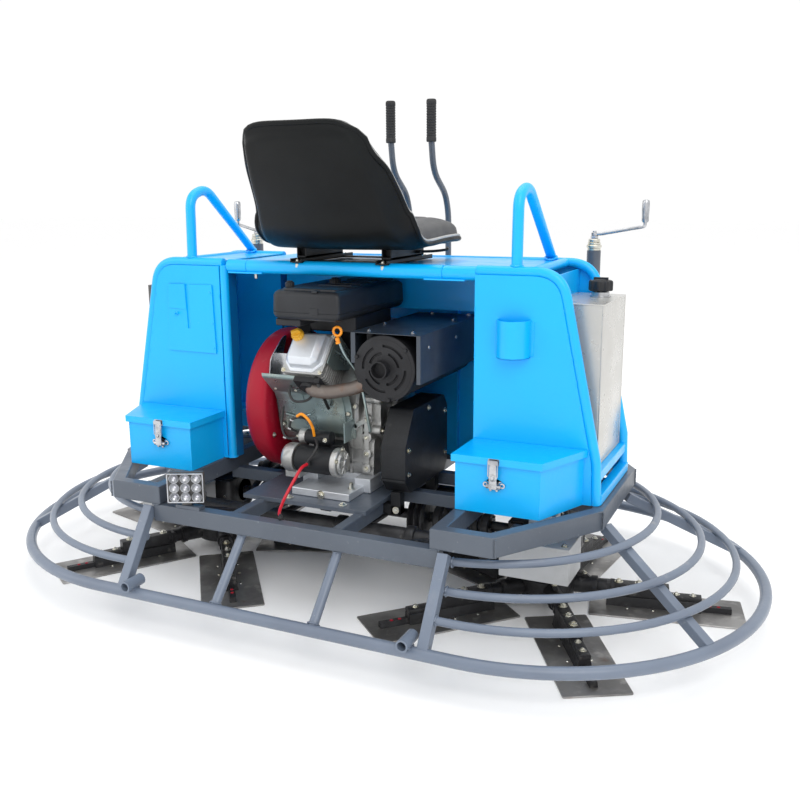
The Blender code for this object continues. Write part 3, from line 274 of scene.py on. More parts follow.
def pipe(at, direction, outer, inner, low, high, steps=28):
    """Hollow cylinder."""
    loops = []
    for radius, height in ((outer, low), (outer, high), (inner, high), (inner, low)):
        loops.append([
            (radius * math.cos(2 * math.pi * j / steps), radius * math.sin(2 * math.pi * j / steps), height)
            for j in range(steps)
        ])
    return moved(loft(loops, closed=True), aim(at, direction))


def bolt(at, direction, size=0.006, height=0.005):
    """Hexagon head on a washer."""
    washer = drum(at, direction, size * 1.45, 0.0, size * 0.22, 0.0003, 20)
    head = spin([
        (size * 0.8, height), (size, height - size * 0.18), (size, size * 0.2),
    ], at, direction, 6)
    end = drum(at, direction, size * 0.5, height - 0.0002, height + size * 0.25, 0.0005, 12)
    return [washer, head, end]


def dome(at, direction, radius=0.004, height=0.0025):
    """Rivet or button head."""
    profile = [(0.0, height)]
    for k in range(1, 6):
        t = math.pi / 2.0 * k / 5
        profile.append((radius * math.sin(t), height * math.cos(t)))
    profile.append((radius, -0.001))
    return spin(profile, at, direction, 14)


def bead(points, radius, closed=False):
    """Weld bead: a slightly lumpy ridge along a path."""
    path = [Vector(p) for p in points]
    fine = []
    pairs = list(zip(path, path[1:] + path[:1])) if closed else list(zip(path, path[1:]))
    for a, b in pairs:
        steps = max(2, int((b - a).length / (radius * 1.3)))
        fine += [a.lerp(b, k / steps) for k in range(steps)]
    if not closed:
        fine.append(path[-1])
    last = len(fine) - 1
    lump = lambda t: radius * (0.82 + 0.18 * math.sin(2.4 * t * last) + 0.1 * math.sin(1.1 * t * last))
    return tube(fine, lump, 8, closed=closed)


def ring_bead(at, direction, across, radius):
    """Weld bead round the foot of a tube."""
    points = []
    for k in range(16):
        angle = 2.0 * math.pi * k / 16
        points.append((across * math.cos(angle), across * math.sin(angle), 0.0))
    place = aim(at, direction)
    return bead([place @ Vector(p) for p in points], radius, closed=True)


# ---- finishes -----------------------------------------------------------
def link_noise(tree, source, scale, detail=4.0, stretch=None):
    """Noise in the piece's own coordinates."""
    noise = tree.nodes.new("ShaderNodeTexNoise")
    noise.inputs["Scale"].default_value = scale
    noise.inputs["Detail"].default_value = detail
    if stretch:
        mapping = tree.nodes.new("ShaderNodeMapping")
        mapping.inputs["Scale"].default_value = stretch
        tree.links.new(source, mapping.inputs["Vector"])
        source = mapping.outputs["Vector"]
    tree.links.new(source, noise.inputs["Vector"])
    return noise.outputs["Fac"]


def link_range(tree, value, start, end, low=0.0, high=1.0):
    """Smooth step of a value between start and end."""
    node = tree.nodes.new("ShaderNodeMapRange")
    node.interpolation_type = "SMOOTHSTEP"
    node.inputs["From Min"].default_value = start
    node.inputs["From Max"].default_value = end
    node.inputs["To Min"].default_value = low
    node.inputs["To Max"].default_value = high
    tree.links.new(value, node.inputs["Value"])
    return node.outputs["Result"]


def link_times(tree, a, b):
    """Product of two values."""
    node = tree.nodes.new("ShaderNodeMath")
    node.operation = "MULTIPLY"
    tree.links.new(a, node.inputs[0])
    tree.links.new(b, node.inputs[1])
    return node.outputs[0]


def finish(name, colour, rough, metallic=0.0, coat=0.0, layers=(), swing=0.06, grain=None, cells=None,
           stretch=None, shine=0.5):
    """Principled finish with layered colour, uneven gloss and a fine bump.

    A layer is (colour, noise scale, start, end, amount, where); where is "all", "top" or "edge".
    grain is (noise scale, depth in metres); cells is (cell size, depth in metres).
    """
    made = bpy.data.materials.new(name)
    made.use_nodes = True
    tree = made.node_tree
    shader = tree.nodes["Principled BSDF"]
    shader.inputs["Metallic"].default_value = metallic
    shader.inputs["Coat Weight"].default_value = coat
    shader.inputs["Specular IOR Level"].default_value = shine
    shader.inputs["Coat Roughness"].default_value = 0.12
    place = tree.nodes.new("ShaderNodeTexCoord").outputs["Object"]
    shape = tree.nodes.new("ShaderNodeNewGeometry")
    split = tree.nodes.new("ShaderNodeSeparateXYZ")
    tree.links.new(shape.outputs["Normal"], split.inputs[0])
    shader.inputs["Base Color"].default_value = (*colour, 1.0)
    last = None
    for tint, scale, start, end, amount, where in layers:
        factor = link_range(tree, link_noise(tree, place, scale, 5.0, stretch), start, end, 0.0, amount)
        if where == "top":
            factor = link_times(tree, factor, link_range(tree, split.outputs["Z"], 0.3, 0.9))
        if where == "edge":
            factor = link_times(tree, factor, link_range(tree, shape.outputs["Pointiness"], 0.51, 0.56))
        mix = tree.nodes.new("ShaderNodeMix")
        mix.data_type = "RGBA"
        tree.links.new(factor, mix.inputs[0])
        mix.inputs[6].default_value = (*colour, 1.0)
        if last is not None:
            tree.links.new(last, mix.inputs[6])
        mix.inputs[7].default_value = (*tint, 1.0)
        last = mix.outputs[2]
    if last is not None:
        tree.links.new(last, shader.inputs["Base Color"])
    uneven = link_noise(tree, place, 14.0, 4.0, stretch)
    tree.links.new(
        link_range(tree, uneven, 0.3, 0.7, rough - swing, rough + swing), shader.inputs["Roughness"],
    )
    height = None
    if grain:
        height = link_noise(tree, place, grain[0], 3.0, stretch)
        depth = grain[1]
    if cells:
        voronoi = tree.nodes.new("ShaderNodeTexVoronoi")
        voronoi.feature = "DISTANCE_TO_EDGE"
        voronoi.inputs["Scale"].default_value = 1.0 / cells[0]
        tree.links.new(place, voronoi.inputs["Vector"])
        height = link_range(tree, voronoi.outputs["Distance"], 0.0, 0.25)
        depth = cells[1]
    if height is not None:
        bump = tree.nodes.new("ShaderNodeBump")
        bump.inputs["Strength"].default_value = 1.0
        bump.inputs["Distance"].default_value = depth
        tree.links.new(height, bump.inputs["Height"])
        tree.links.new(bump.outputs["Normal"], shader.inputs["Normal"])
    return made


DUST = (0.42, 0.4, 0.37)
RUST = (0.19, 0.075, 0.03)
DIRT = (0.03, 0.026, 0.022)
FINE = {"bevel": 0.0006, "segments": 1}
FINISHES = {
    "blue": (finish(
        "blue_paint", (0.001, 0.435, 0.93), 0.34, coat=0.12, grain=(38.0, 0.0007), shine=0.4,
        layers=(
            ((0.001, 0.36, 0.86), 3.0, 0.35, 0.75, 0.4, "all"),
            ((0.16, 0.6, 0.92), 160.0, 0.7, 0.78, 0.35, "edge"),
            (DUST, 9.0, 0.62, 0.86, 0.12, "top"),
        ),
    ), "blue_paint"),
    # Painted shade: a dark copy of the blue paint for the tower webs, for the shadow beside the posts; the
    # dark streaks are dirt.
    "shaded_blue": (finish(
        "painted_shade_blue_paint", (0.001, 0.15, 0.42), 0.42, grain=(38.0, 0.0007), shine=0.3,
        layers=(
            ((0.001, 0.09, 0.28), 4.0, 0.35, 0.75, 0.6, "all"),
            (DIRT, 22.0, 0.6, 0.8, 0.25, "all"),
        ),
    ), "blue_paint"),
    # Painted shade: a darker copy of the frame paint, for the shade on the main frame; the grey edges and
    # the dust are wear.
    "rail": (finish(
        "painted_shade_frame_paint", (0.082, 0.1, 0.128), 0.4, coat=0.15, grain=(60.0, 0.0006),
        layers=(
            ((0.06, 0.074, 0.098), 5.0, 0.35, 0.7, 0.6, "all"),
            ((0.24, 0.25, 0.27), 90.0, 0.66, 0.78, 0.5, "edge"),
            (DUST, 22.0, 0.62, 0.8, 0.28, "top"),
        ),
    ), "frame_paint"),
    "shield": (finish(
        "shield_paint", (0.04, 0.052, 0.07), 0.38, coat=0.2, grain=(220.0, 0.0004),
        layers=(
            ((0.02, 0.028, 0.042), 7.0, 0.4, 0.7, 0.6, "all"),
            (DUST, 30.0, 0.58, 0.8, 0.2, "top"),
        ),
    ), "black_paint"),
    "frame": (finish(
        "frame_paint", (0.15, 0.185, 0.245), 0.38, coat=0.2, grain=(60.0, 0.0006),
        layers=(
            ((0.115, 0.14, 0.19), 5.0, 0.35, 0.7, 0.6, "all"),
            ((0.3, 0.31, 0.33), 90.0, 0.66, 0.78, 0.5, "edge"),
            (DUST, 22.0, 0.62, 0.8, 0.3, "top"),
        ),
    ), "frame_paint"),
    "black_paint": (finish(
        "black_paint", (0.009, 0.01, 0.012), 0.42, shine=0.3, grain=(220.0, 0.0004),
        layers=(
            ((0.022, 0.024, 0.028), 12.0, 0.45, 0.75, 0.5, "all"),
            (DUST, 30.0, 0.58, 0.8, 0.16, "top"),
        ),
    ), "black_paint"),
    "black_plastic": (finish(
        "black_plastic", (0.014, 0.015, 0.018), 0.44, shine=0.35, grain=(900.0, 0.0003),
        layers=(
            ((0.028, 0.031, 0.036), 8.0, 0.4, 0.75, 0.6, "all"),
            (DUST, 24.0, 0.6, 0.82, 0.14, "top"),
        ),
    ), "black_plastic"),
    "seat_plastic": (finish(
        "seat_plastic", (0.004, 0.0045, 0.005), 0.36, shine=0.16, cells=(0.0022, 0.00012),
        layers=(
            ((0.009, 0.011, 0.011), 4.0, 0.4, 0.75, 0.7, "all"),
        ),
    ), "black_plastic"),
    "vinyl": (finish(
        "seat_vinyl", (0.022, 0.023, 0.026), 0.38, coat=0.05, cells=(0.003, 0.00035),
        layers=(
            ((0.062, 0.064, 0.068), 6.0, 0.42, 0.78, 0.5, "all"),
        ),
    ), "seat_vinyl"),
    "piping": (finish(
        "seat_piping", (0.42, 0.42, 0.41), 0.5, grain=(400.0, 0.0003),
        layers=(
            ((0.25, 0.25, 0.24), 40.0, 0.45, 0.7, 0.6, "all"),
        ),
    ), "seat_vinyl"),
    "red": (finish(
        "red_housing", (0.34, 0.003, 0.02), 0.4, shine=0.25, grain=(320.0, 0.0004),
        layers=(
            ((0.25, 0.008, 0.018), 6.0, 0.35, 0.7, 0.6, "all"),
            (DUST, 40.0, 0.62, 0.8, 0.2, "top"),
            ((0.45, 0.1, 0.1), 120.0, 0.66, 0.76, 0.5, "edge"),
        ),
    ), "red_housing"),
    "cast": (finish(
        "cast_aluminium", (0.52, 0.52, 0.51), 0.42, metallic=0.85, grain=(260.0, 0.0009),
        layers=(
            ((0.3, 0.3, 0.29), 14.0, 0.42, 0.72, 0.65, "all"),
            (DIRT, 34.0, 0.6, 0.78, 0.45, "all"),
        ),
    ), "engine_castings"),
    "bright_cast": (finish(
        "bright_casting", (0.66, 0.69, 0.73), 0.36, metallic=0.6, grain=(420.0, 0.0005),
        layers=(
            ((0.6, 0.61, 0.63), 10.0, 0.42, 0.72, 0.5, "all"),
        ),
    ), "engine_castings"),
    "shroud": (finish(
        "shroud_plate", (0.27, 0.35, 0.36), 0.3, metallic=0.75, grain=(12.0, 0.0016),
        layers=(
            ((0.36, 0.4, 0.34), 9.0, 0.4, 0.68, 0.7, "all"),
            ((0.16, 0.21, 0.24), 16.0, 0.48, 0.74, 0.6, "all"),
        ),
    ), "engine_castings"),
    "zinc": (finish(
        "zinc_plating", (0.66, 0.65, 0.58), 0.28, metallic=1.0, grain=(90.0, 0.0004),
        layers=(
            ((0.62, 0.56, 0.36), 30.0, 0.42, 0.68, 0.55, "all"),
            ((0.42, 0.44, 0.5), 46.0, 0.5, 0.74, 0.55, "all"),
        ),
    ), "bright_plating"),
    "chrome": (finish(
        "bright_plating", (0.5, 0.51, 0.53), 0.26, metallic=1.0, grain=(160.0, 0.0002),
        layers=(
            ((0.24, 0.25, 0.27), 40.0, 0.46, 0.66, 0.6, "all"),
        ),
    ), "bright_plating"),
    "blade": (finish(
        "blade_steel", (0.4, 0.39, 0.38), 0.42, metallic=0.85, grain=(90.0, 0.0008),
        layers=(
            ((0.17, 0.165, 0.16), 7.0, 0.38, 0.6, 0.75, "all"),
            ((0.6, 0.58, 0.55), 26.0, 0.56, 0.7, 0.5, "all"),
            (RUST, 17.0, 0.64, 0.76, 0.4, "all"),
        ),
    ), "worn_steel"),
    "exhaust": (finish(
        "exhaust_pipe", (0.17, 0.145, 0.13), 0.55, metallic=0.7, grain=(140.0, 0.0006),
        layers=(
            (RUST, 18.0, 0.42, 0.64, 0.6, "all"),
            ((0.3, 0.28, 0.26), 30.0, 0.52, 0.72, 0.5, "all"),
        ),
    ), "worn_steel"),
    "muffler": (finish(
        "muffler_paint", (0.012, 0.012, 0.014), 0.5, shine=0.3, grain=(420.0, 0.0007),
        layers=(
            ((0.028, 0.029, 0.032), 10.0, 0.4, 0.7, 0.6, "all"),
            (RUST, 40.0, 0.68, 0.8, 0.35, "all"),
        ),
    ), "black_paint"),
    "greasy": (finish(
        "greasy_casting", (0.018, 0.018, 0.02), 0.4, metallic=0.2, shine=0.4, grain=(120.0, 0.0011),
        layers=(
            ((0.05, 0.05, 0.053), 18.0, 0.48, 0.7, 0.6, "all"),
            ((0.2, 0.19, 0.175), 34.0, 0.6, 0.76, 0.5, "all"),
        ),
    ), "dark_castings"),
    "lever": (finish(
        "lever_paint", (0.085, 0.1, 0.125), 0.36, coat=0.2, grain=(70.0, 0.0005),
        layers=(
            ((0.055, 0.065, 0.085), 6.0, 0.4, 0.7, 0.6, "all"),
        ),
    ), "dark_castings"),
    "rubber": (finish(
        "grip_rubber", (0.017, 0.017, 0.018), 0.66, grain=(500.0, 0.0005),
        layers=(
            ((0.038, 0.038, 0.039), 26.0, 0.45, 0.7, 0.6, "all"),
        ),
    ), "black_plastic"),
    "tank": (finish(
        "tank_shell", (0.5, 0.49, 0.455), 0.3, metallic=0.45, coat=0.1, grain=(16.0, 0.0007),
        layers=(
            ((0.49, 0.485, 0.47), 3.0, 0.35, 0.7, 0.7, "all"),
            ((0.66, 0.65, 0.62), 90.0, 0.6, 0.74, 0.35, "all"),
        ),
    ), "fuel_tank_plastic"),
    # Painted shade on the left tank, drawn dark for its shadow; on the work light case this dark is the
    # case's own colour.
    "dark_tank": (finish(
        "dark_tank_shell", (0.07, 0.068, 0.066), 0.46, grain=(120.0, 0.0006),
        layers=(
            ((0.11, 0.105, 0.1), 7.0, 0.4, 0.72, 0.6, "all"),
            (DUST, 30.0, 0.56, 0.78, 0.2, "top"),
        ),
    ), "water_tank_plastic"),
    "pale": (finish(
        "pale_cover_paint", (0.47, 0.48, 0.49), 0.44, grain=(70.0, 0.0008),
        layers=(
            ((0.3, 0.3, 0.29), 11.0, 0.5, 0.76, 0.5, "all"),
            (DIRT, 30.0, 0.66, 0.8, 0.3, "all"),
        ),
    ), "pale_paint"),
    "yellow": (finish(
        "yellow_plastic", (0.72, 0.39, 0.025), 0.34, grain=(300.0, 0.0002),
        layers=(
            ((0.55, 0.28, 0.02), 30.0, 0.45, 0.7, 0.5, "all"),
        ),
    ), "yellow_plastic"),
    "orange": (finish(
        "orange_plastic", (0.86, 0.3, 0.012), 0.34, grain=(300.0, 0.0002),
        layers=(
            ((0.7, 0.2, 0.01), 60.0, 0.45, 0.7, 0.5, "all"),
        ),
    ), "orange_plastic"),
    "red_cable": (finish(
        "cable_red", (0.56, 0.01, 0.024), 0.34, grain=(400.0, 0.0002),
        layers=(
            ((0.42, 0.008, 0.018), 40.0, 0.45, 0.7, 0.5, "all"),
        ),
    ), "cable_red"),
    "wire": (finish(
        "black_wire", (0.016, 0.016, 0.017), 0.5, grain=(600.0, 0.0002),
        layers=(
            ((0.04, 0.04, 0.04), 30.0, 0.45, 0.7, 0.5, "all"),
        ),
    ), "black_plastic"),
    "lamp_lens": (finish(
        "lamp_glow", (0.86, 0.86, 0.92), 0.12, grain=(900.0, 0.0002),
        layers=(
            ((0.7, 0.68, 0.84), 200.0, 0.45, 0.65, 0.6, "all"),
        ),
    ), "bright_plating"),
}


def piece(name, solids, look, body="chassis", hides=(), bevel=0.0, angle=35.0, segments=2):
    """One visible object made of solids, with a finish, on a CAD body."""
    verts, faces = [], []
    for points, sides in solids:
        base = len(verts)
        verts += [tuple(p) for p in points]
        faces += [tuple(base + i for i in side) for side in sides]
    mesh = bpy.data.meshes.new(name)
    mesh.from_pydata(verts, [], faces)
    work = bmesh.new()
    work.from_mesh(mesh)
    bmesh.ops.recalc_face_normals(work, faces=work.faces)
    work.to_mesh(mesh)
    work.free()
    mesh.shade_smooth()
    mesh.set_sharp_from_angle(angle=math.radians(angle))
    material, slot = FINISHES[look]
    mesh.materials.append(material)
    item = bpy.data.objects.new(name, mesh)
    bpy.context.scene.collection.objects.link(item)
    if bevel:
        edges = item.modifiers.new("edges", "BEVEL")
        edges.width = bevel
        edges.segments = segments
        edges.limit_method = "ANGLE"
        edges.angle_limit = math.radians(angle)
        edges.harden_normals = True
    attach(item, body)
    if hides:
        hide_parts(*hides)
    return item


# ---- main frame and guard rings -----------------------------------------
CORNERS = (
    (0.365, -RAIL_Y), (0.482, -RAIL_Y), (0.642, -0.172), (0.642, 0.172), (0.482, RAIL_Y), (0.365, RAIL_Y),
)


def raised_loop(side, half, low, high):
    """Flat loop of box tube with chamfered outer corners."""
    loops = []
    count = len(CORNERS)
    for i in range(count):
        here = Vector(CORNERS[i])
        before = (here - Vector(CORNERS[i - 1])).normalized()
        after = (Vector(CORNERS[(i + 1) % count]) - here).normalized()
        left_a = Vector((before.y, -before.x))
        left_b = Vector((after.y, -after.x))
        out = (left_a + left_b).normalized()
        out *= half / out.dot(left_a)
        loops.append([
            (side * (here.x + out.x), here.y + out.y, low), (side * (here.x + out.x), here.y + out.y, high),
            (side * (here.x - out.x), here.y - out.y, high), (side * (here.x - out.x), here.y - out.y, low),
        ])
    return loft(loops, closed=True)


def build_frame():
    """Side rails, raised end loops, hangers and cross rails."""
    tubes = []
    welds = []
    for across in (-1, 1):
        y = across * RAIL_Y
        tubes.append(box(-RAIL_END, RAIL_END, y - RAIL_HALF, y + RAIL_HALF, RAIL_LOW, RAIL_TOP))
    for side in (-1, 1):
        tubes.append(raised_loop(side, 0.015, RAIL_TOP, BOX_TOP))
        for y in (-HANGER_Y, HANGER_Y):
            ends = sorted((side * 0.372, side * 0.635))
            tubes.append(box(ends[0], ends[1], y - HANGER_HALF, y + HANGER_HALF, 0.272, 0.3))
            inner = sorted((side * 0.373, CROSS_X[0] if side < 0 else CROSS_X[1]))
            tubes.append(box(inner[0], inner[1], y - HANGER_HALF, y + HANGER_HALF, 0.236, 0.268))
        for x, y in CORNERS[1:5]:
            step = 0.0156 if x > 0.6 else 0.014
            outer = (side * (x + step), y + math.copysign(0.0075 if x > 0.6 else 0.0152, y))
            welds.append(
                bead(
                    [(outer[0], outer[1], RAIL_TOP + 0.003), (outer[0], outer[1], BOX_TOP - 0.003)], 0.0022,
                )
            )
        for across in (-1, 1):
            seam = across * (RAIL_Y + 0.0155)
            welds.append(bead([(side * 0.352, seam, RAIL_TOP), (side * 0.369, seam, RAIL_TOP)], 0.0026))
            edge = side * (RAIL_END + 0.001)
            welds.append(bead([(edge, seam - across * 0.03, RAIL_TOP), (edge, seam, RAIL_TOP)], 0.0026))
    for x in CROSS_X:
        tubes.append(box(x - CROSS_HALF, x + CROSS_HALF, -RAIL_Y, RAIL_Y, CROSS_LOW, RAIL_TOP - 0.002))
        for turn in (-1, 1):
            inner = -RAIL_Y + RAIL_HALF
            edge = x + turn * CROSS_HALF
            welds.append(bead([(edge, inner, CROSS_LOW), (edge, inner, RAIL_TOP - 0.002)], 0.0026))
            welds.append(
                bead(
                    [(x - CROSS_HALF, inner, RAIL_TOP - 0.002), (x + CROSS_HALF, inner, RAIL_TOP - 0.002)],
                    0.0026,
                )
            )
    build_steering_links()
    # The main frame tubes and welds take the painted-shade copy of the frame paint.
    piece("frame_tubes", tubes, "rail", hides=["main_frame"], bevel=0.0028, segments=3)
    build_frame_plates()
    piece("frame_welds", welds, "rail")
    build_foot_plate_tread()
    build_frame_bolts()


def build_steering_links():
    """Cross tubes, push rods and hoses under the frame."""
    links = []
    for y in (-0.215, 0.125):
        links.append(drum((0, y, 0.196), RIGHT, 0.019, -0.43, 0.43, 0.002, 20))
        for x in (-0.4, -0.215, 0.03, 0.215, 0.4):
            links.append(drum((x, y, 0.196), RIGHT, 0.026, -0.012, 0.012, 0.002, 20))
    for x in (-0.2, 0.045):
        links.append(
            tube(
                rounded(
                    [(x, -0.215, 0.17), (x, 0.02, 0.158), (x, 0.21, 0.185), (x * 0.4, 0.44, 0.232)], 0.05,
                ),
                0.0085, 12,
            )
        )
        links.append(box(x - 0.01, x + 0.01, -0.228, -0.202, 0.158, 0.21))
    for k, x in enumerate((-0.33, -0.285, 0.255, 0.3)):
        run = [
            (x, -0.33, 0.226), (x + 0.045, -0.18, 0.176 + 0.006 * k), (x - 0.035, 0.02, 0.205),
            (x, 0.23, 0.222),
        ]
        links.append(tube(rounded(run, 0.08), 0.0085, 12))
    # Partly real linkage and hoses, partly painted shade: these dark parts also fill the shade seen through
    # the frame openings.
    piece("steering_links", links, "greasy", **FINE, angle=50.0)


def build_frame_plates():
    """Engine tray, foot plate and the lug plate of the battery cable."""
    plates = [
        box(-0.205, 0.132, -0.292, 0.202, RAIL_TOP - 0.004, 0.2705),
        box(-0.345, 0.345, 0.215, 0.426, RAIL_TOP - 0.003, 0.27),
        box(-0.305, -0.236, -RAIL_Y - 0.014, -RAIL_Y + 0.01, RAIL_TOP - 0.003, 0.272),
    ]
    # Painted shade: the plates take the darker copy of the frame paint.
    piece("frame_plates", plates, "rail", bevel=0.0012)


def build_foot_plate_tread():
    """Raised studs of the tread on the foot plate."""
    studs = []
    for i in range(21):
        for j in range(6):
            x = -0.32 + 0.032 * i
            y = 0.237 + 0.032 * j
            if abs(x) > 0.12 or y < 0.355:
                turn = Matrix.Translation((x, y, 0.2698)) @ Matrix.Rotation(
                    math.radians(45 if (i + j) % 2 else -45), 4, "Z",
                )
                studs.append(moved(box(-0.01, 0.01, -0.0022, 0.0022, 0.0, 0.0014), turn))
    piece("foot_plate_tread", studs, "frame", **FINE)


def build_frame_bolts():
    """Bolts of the engine tray and the rotor hangers."""
    fixings = []
    for x in (-0.085, 0.062):
        for y in (-0.272, 0.172):
            fixings += bolt((x, y, 0.2705), UP, 0.007, 0.006)
    for side in (-1, 1):
        for y in (-0.1, 0.1):
            fixings += bolt((side * 0.455, y, 0.3), UP, 0.007, 0.006)
            fixings += bolt((side * 0.51, y, 0.3), UP, 0.007, 0.006)
    piece("frame_bolts", fixings, "zinc")


def ring_path(steps):
    """Middle line of the outer guard ring."""
    points = []
    for centre, start in ((RING_X, -90.0), (-RING_X, 90.0)):
        for i in range(steps + 1):
            angle = math.radians(start + 180.0 * i / steps)
            points.append(
                (centre + RING_RADIUS * math.cos(angle), RING_RADIUS * math.sin(angle), RING_HEIGHT)
            )
    return points


def build_outer_ring():
    """Outer guard ring with its short struts and stub tubes."""
    solids = [tube(ring_path(60), RING_TUBE, 24, closed=True)]
    welds = []
    stub_z = RING_HEIGHT + RING_TUBE + STUB_RADIUS - 0.003
    for side in (-1, 1):
        for across in (-1, 1):
            foot = Vector((side * MID_SPOKE_X, across * (RING_RADIUS - 0.003), RING_HEIGHT))
            head = Vector((side * MID_SPOKE_X, across * RAIL_Y, RAIL_LOW - 0.0003))
            verts, faces = tube([foot, head], MID_SPOKE_RADIUS, 20)
            solids.append(([(v[0], v[1], min(v[2], RAIL_LOW - 0.0003)) for v in verts], faces))
            along = (head - foot).normalized()
            welds.append(ring_bead(foot + along * 0.013, along, MID_SPOKE_RADIUS + 0.001, 0.0028))
            welds.append(ring_bead(head - Vector((0, 0, 0.003)), UP, MID_SPOKE_RADIUS + 0.001, 0.0024))
            at = (side * STUB_X, across * RING_RADIUS, stub_z)
            solids.append(pipe(at, AHEAD, STUB_RADIUS, STUB_BORE, -0.028, 0.028, 24))
            for edge in (-1, 1):
                x = at[0] + edge * 0.009
                welds.append(
                    bead([(x, at[1] - 0.011, stub_z - 0.012), (x, at[1] + 0.011, stub_z - 0.012)], 0.0028)
                )
            welds.append(bead([(side * SPOKE_X - SPOKE_HALF, across * 0.53, 0.098),
                               (side * SPOKE_X + SPOKE_HALF, across * 0.53, 0.098)], 0.003))
    piece("outer_ring_tubes", solids, "frame", hides=["outer_guard_ring"])
    piece("outer_ring_welds", welds, "frame")


def spoke_line(height):
    """Distance from the middle of the corner spokes at a height."""
    low = RING_RADIUS - 0.02
    high = RAIL_Y + 0.006
    return low + (high - low) * (height - RING_HEIGHT) / (RAIL_TOP - RING_HEIGHT)


def build_cage(side, word):
    """Step rings and spokes over one rotor."""
    spokes = []
    rings = []
    welds = []
    for across in (-1, 1):
        head = RAIL_TOP - 0.008
        start = Vector((side * SPOKE_X, across * (RING_RADIUS - 0.006), RING_HEIGHT + 0.004))
        end = Vector((side * SPOKE_X, across * spoke_line(head), head))
        spokes.append(bar(start, end, SPOKE_HALF))
        reach = RING_RADIUS - 0.006
        foot = Vector((
            side * (RING_X + reach * math.cos(SIDE_SPOKE_ANGLE)),
            across * reach * math.sin(SIDE_SPOKE_ANGLE), RING_HEIGHT + 0.004,
        ))
        top = Vector((side * SIDE_SPOKE_IN[0], across * SIDE_SPOKE_IN[1], RAIL_TOP - 0.0125))
        spokes.append(bar(foot, top, SPOKE_HALF - 0.0007))
    for long, wide, centre, height in STEP_RINGS:
        edge = SPOKE_X - 0.002
        swing = math.acos((edge - centre) / long) if centre < edge else math.pi / 2.0
        path = []
        for i in range(49):
            angle = -swing + 2.0 * swing * i / 48
            path.append((centre + long * math.cos(angle), wide * math.sin(angle), height))
        if centre > edge:
            path = [(edge, -wide, height)] + path + [(edge, wide, height)]
        rings.append(tube([(side * p[0], p[1], p[2]) for p in path], STEP_TUBE, 18))
        for across in (-1, 1):
            y = across * (wide - 0.0005)
            at = (side * (SPOKE_X + SPOKE_HALF + 0.001), y, height)
            welds.append(ring_bead(at, (side, 0, 0), STEP_TUBE + 0.0006, 0.0026))
    piece(word + "_cage_spokes", spokes, "frame", hides=[word + "_guard_cage"], bevel=0.0022)
    piece(word + "_cage_rings", rings, "frame")
    piece(word + "_cage_welds", welds, "frame")


# ---- towers, deck and boxes ----------------------------------------------
def tower_outline(inset):
    """Shoulder and sloping side of a tower in the x-z plane, drawn in by inset."""
    corner = [
        (TOWER_IN, TOWER_TOP - inset), (0.548 - inset * 0.75, TOWER_TOP - inset),
        (0.64 - inset, 0.405), (0.643 - inset, BOX_TOP),
    ]
    path = [corner[0]]
    before, here, after = (Vector(p) for p in corner[:3])
    start = here + (before - here).normalized() * (0.066 - inset * 0.6)
    end = here + (after - here).normalized() * (0.062 - inset * 0.6)
    for k in range(13):
        t = k / 12
        path.append(tuple(start * (1 - t) ** 2 + here * 2 * t * (1 - t) + end * t * t))
    return path + [corner[2], corner[3]]


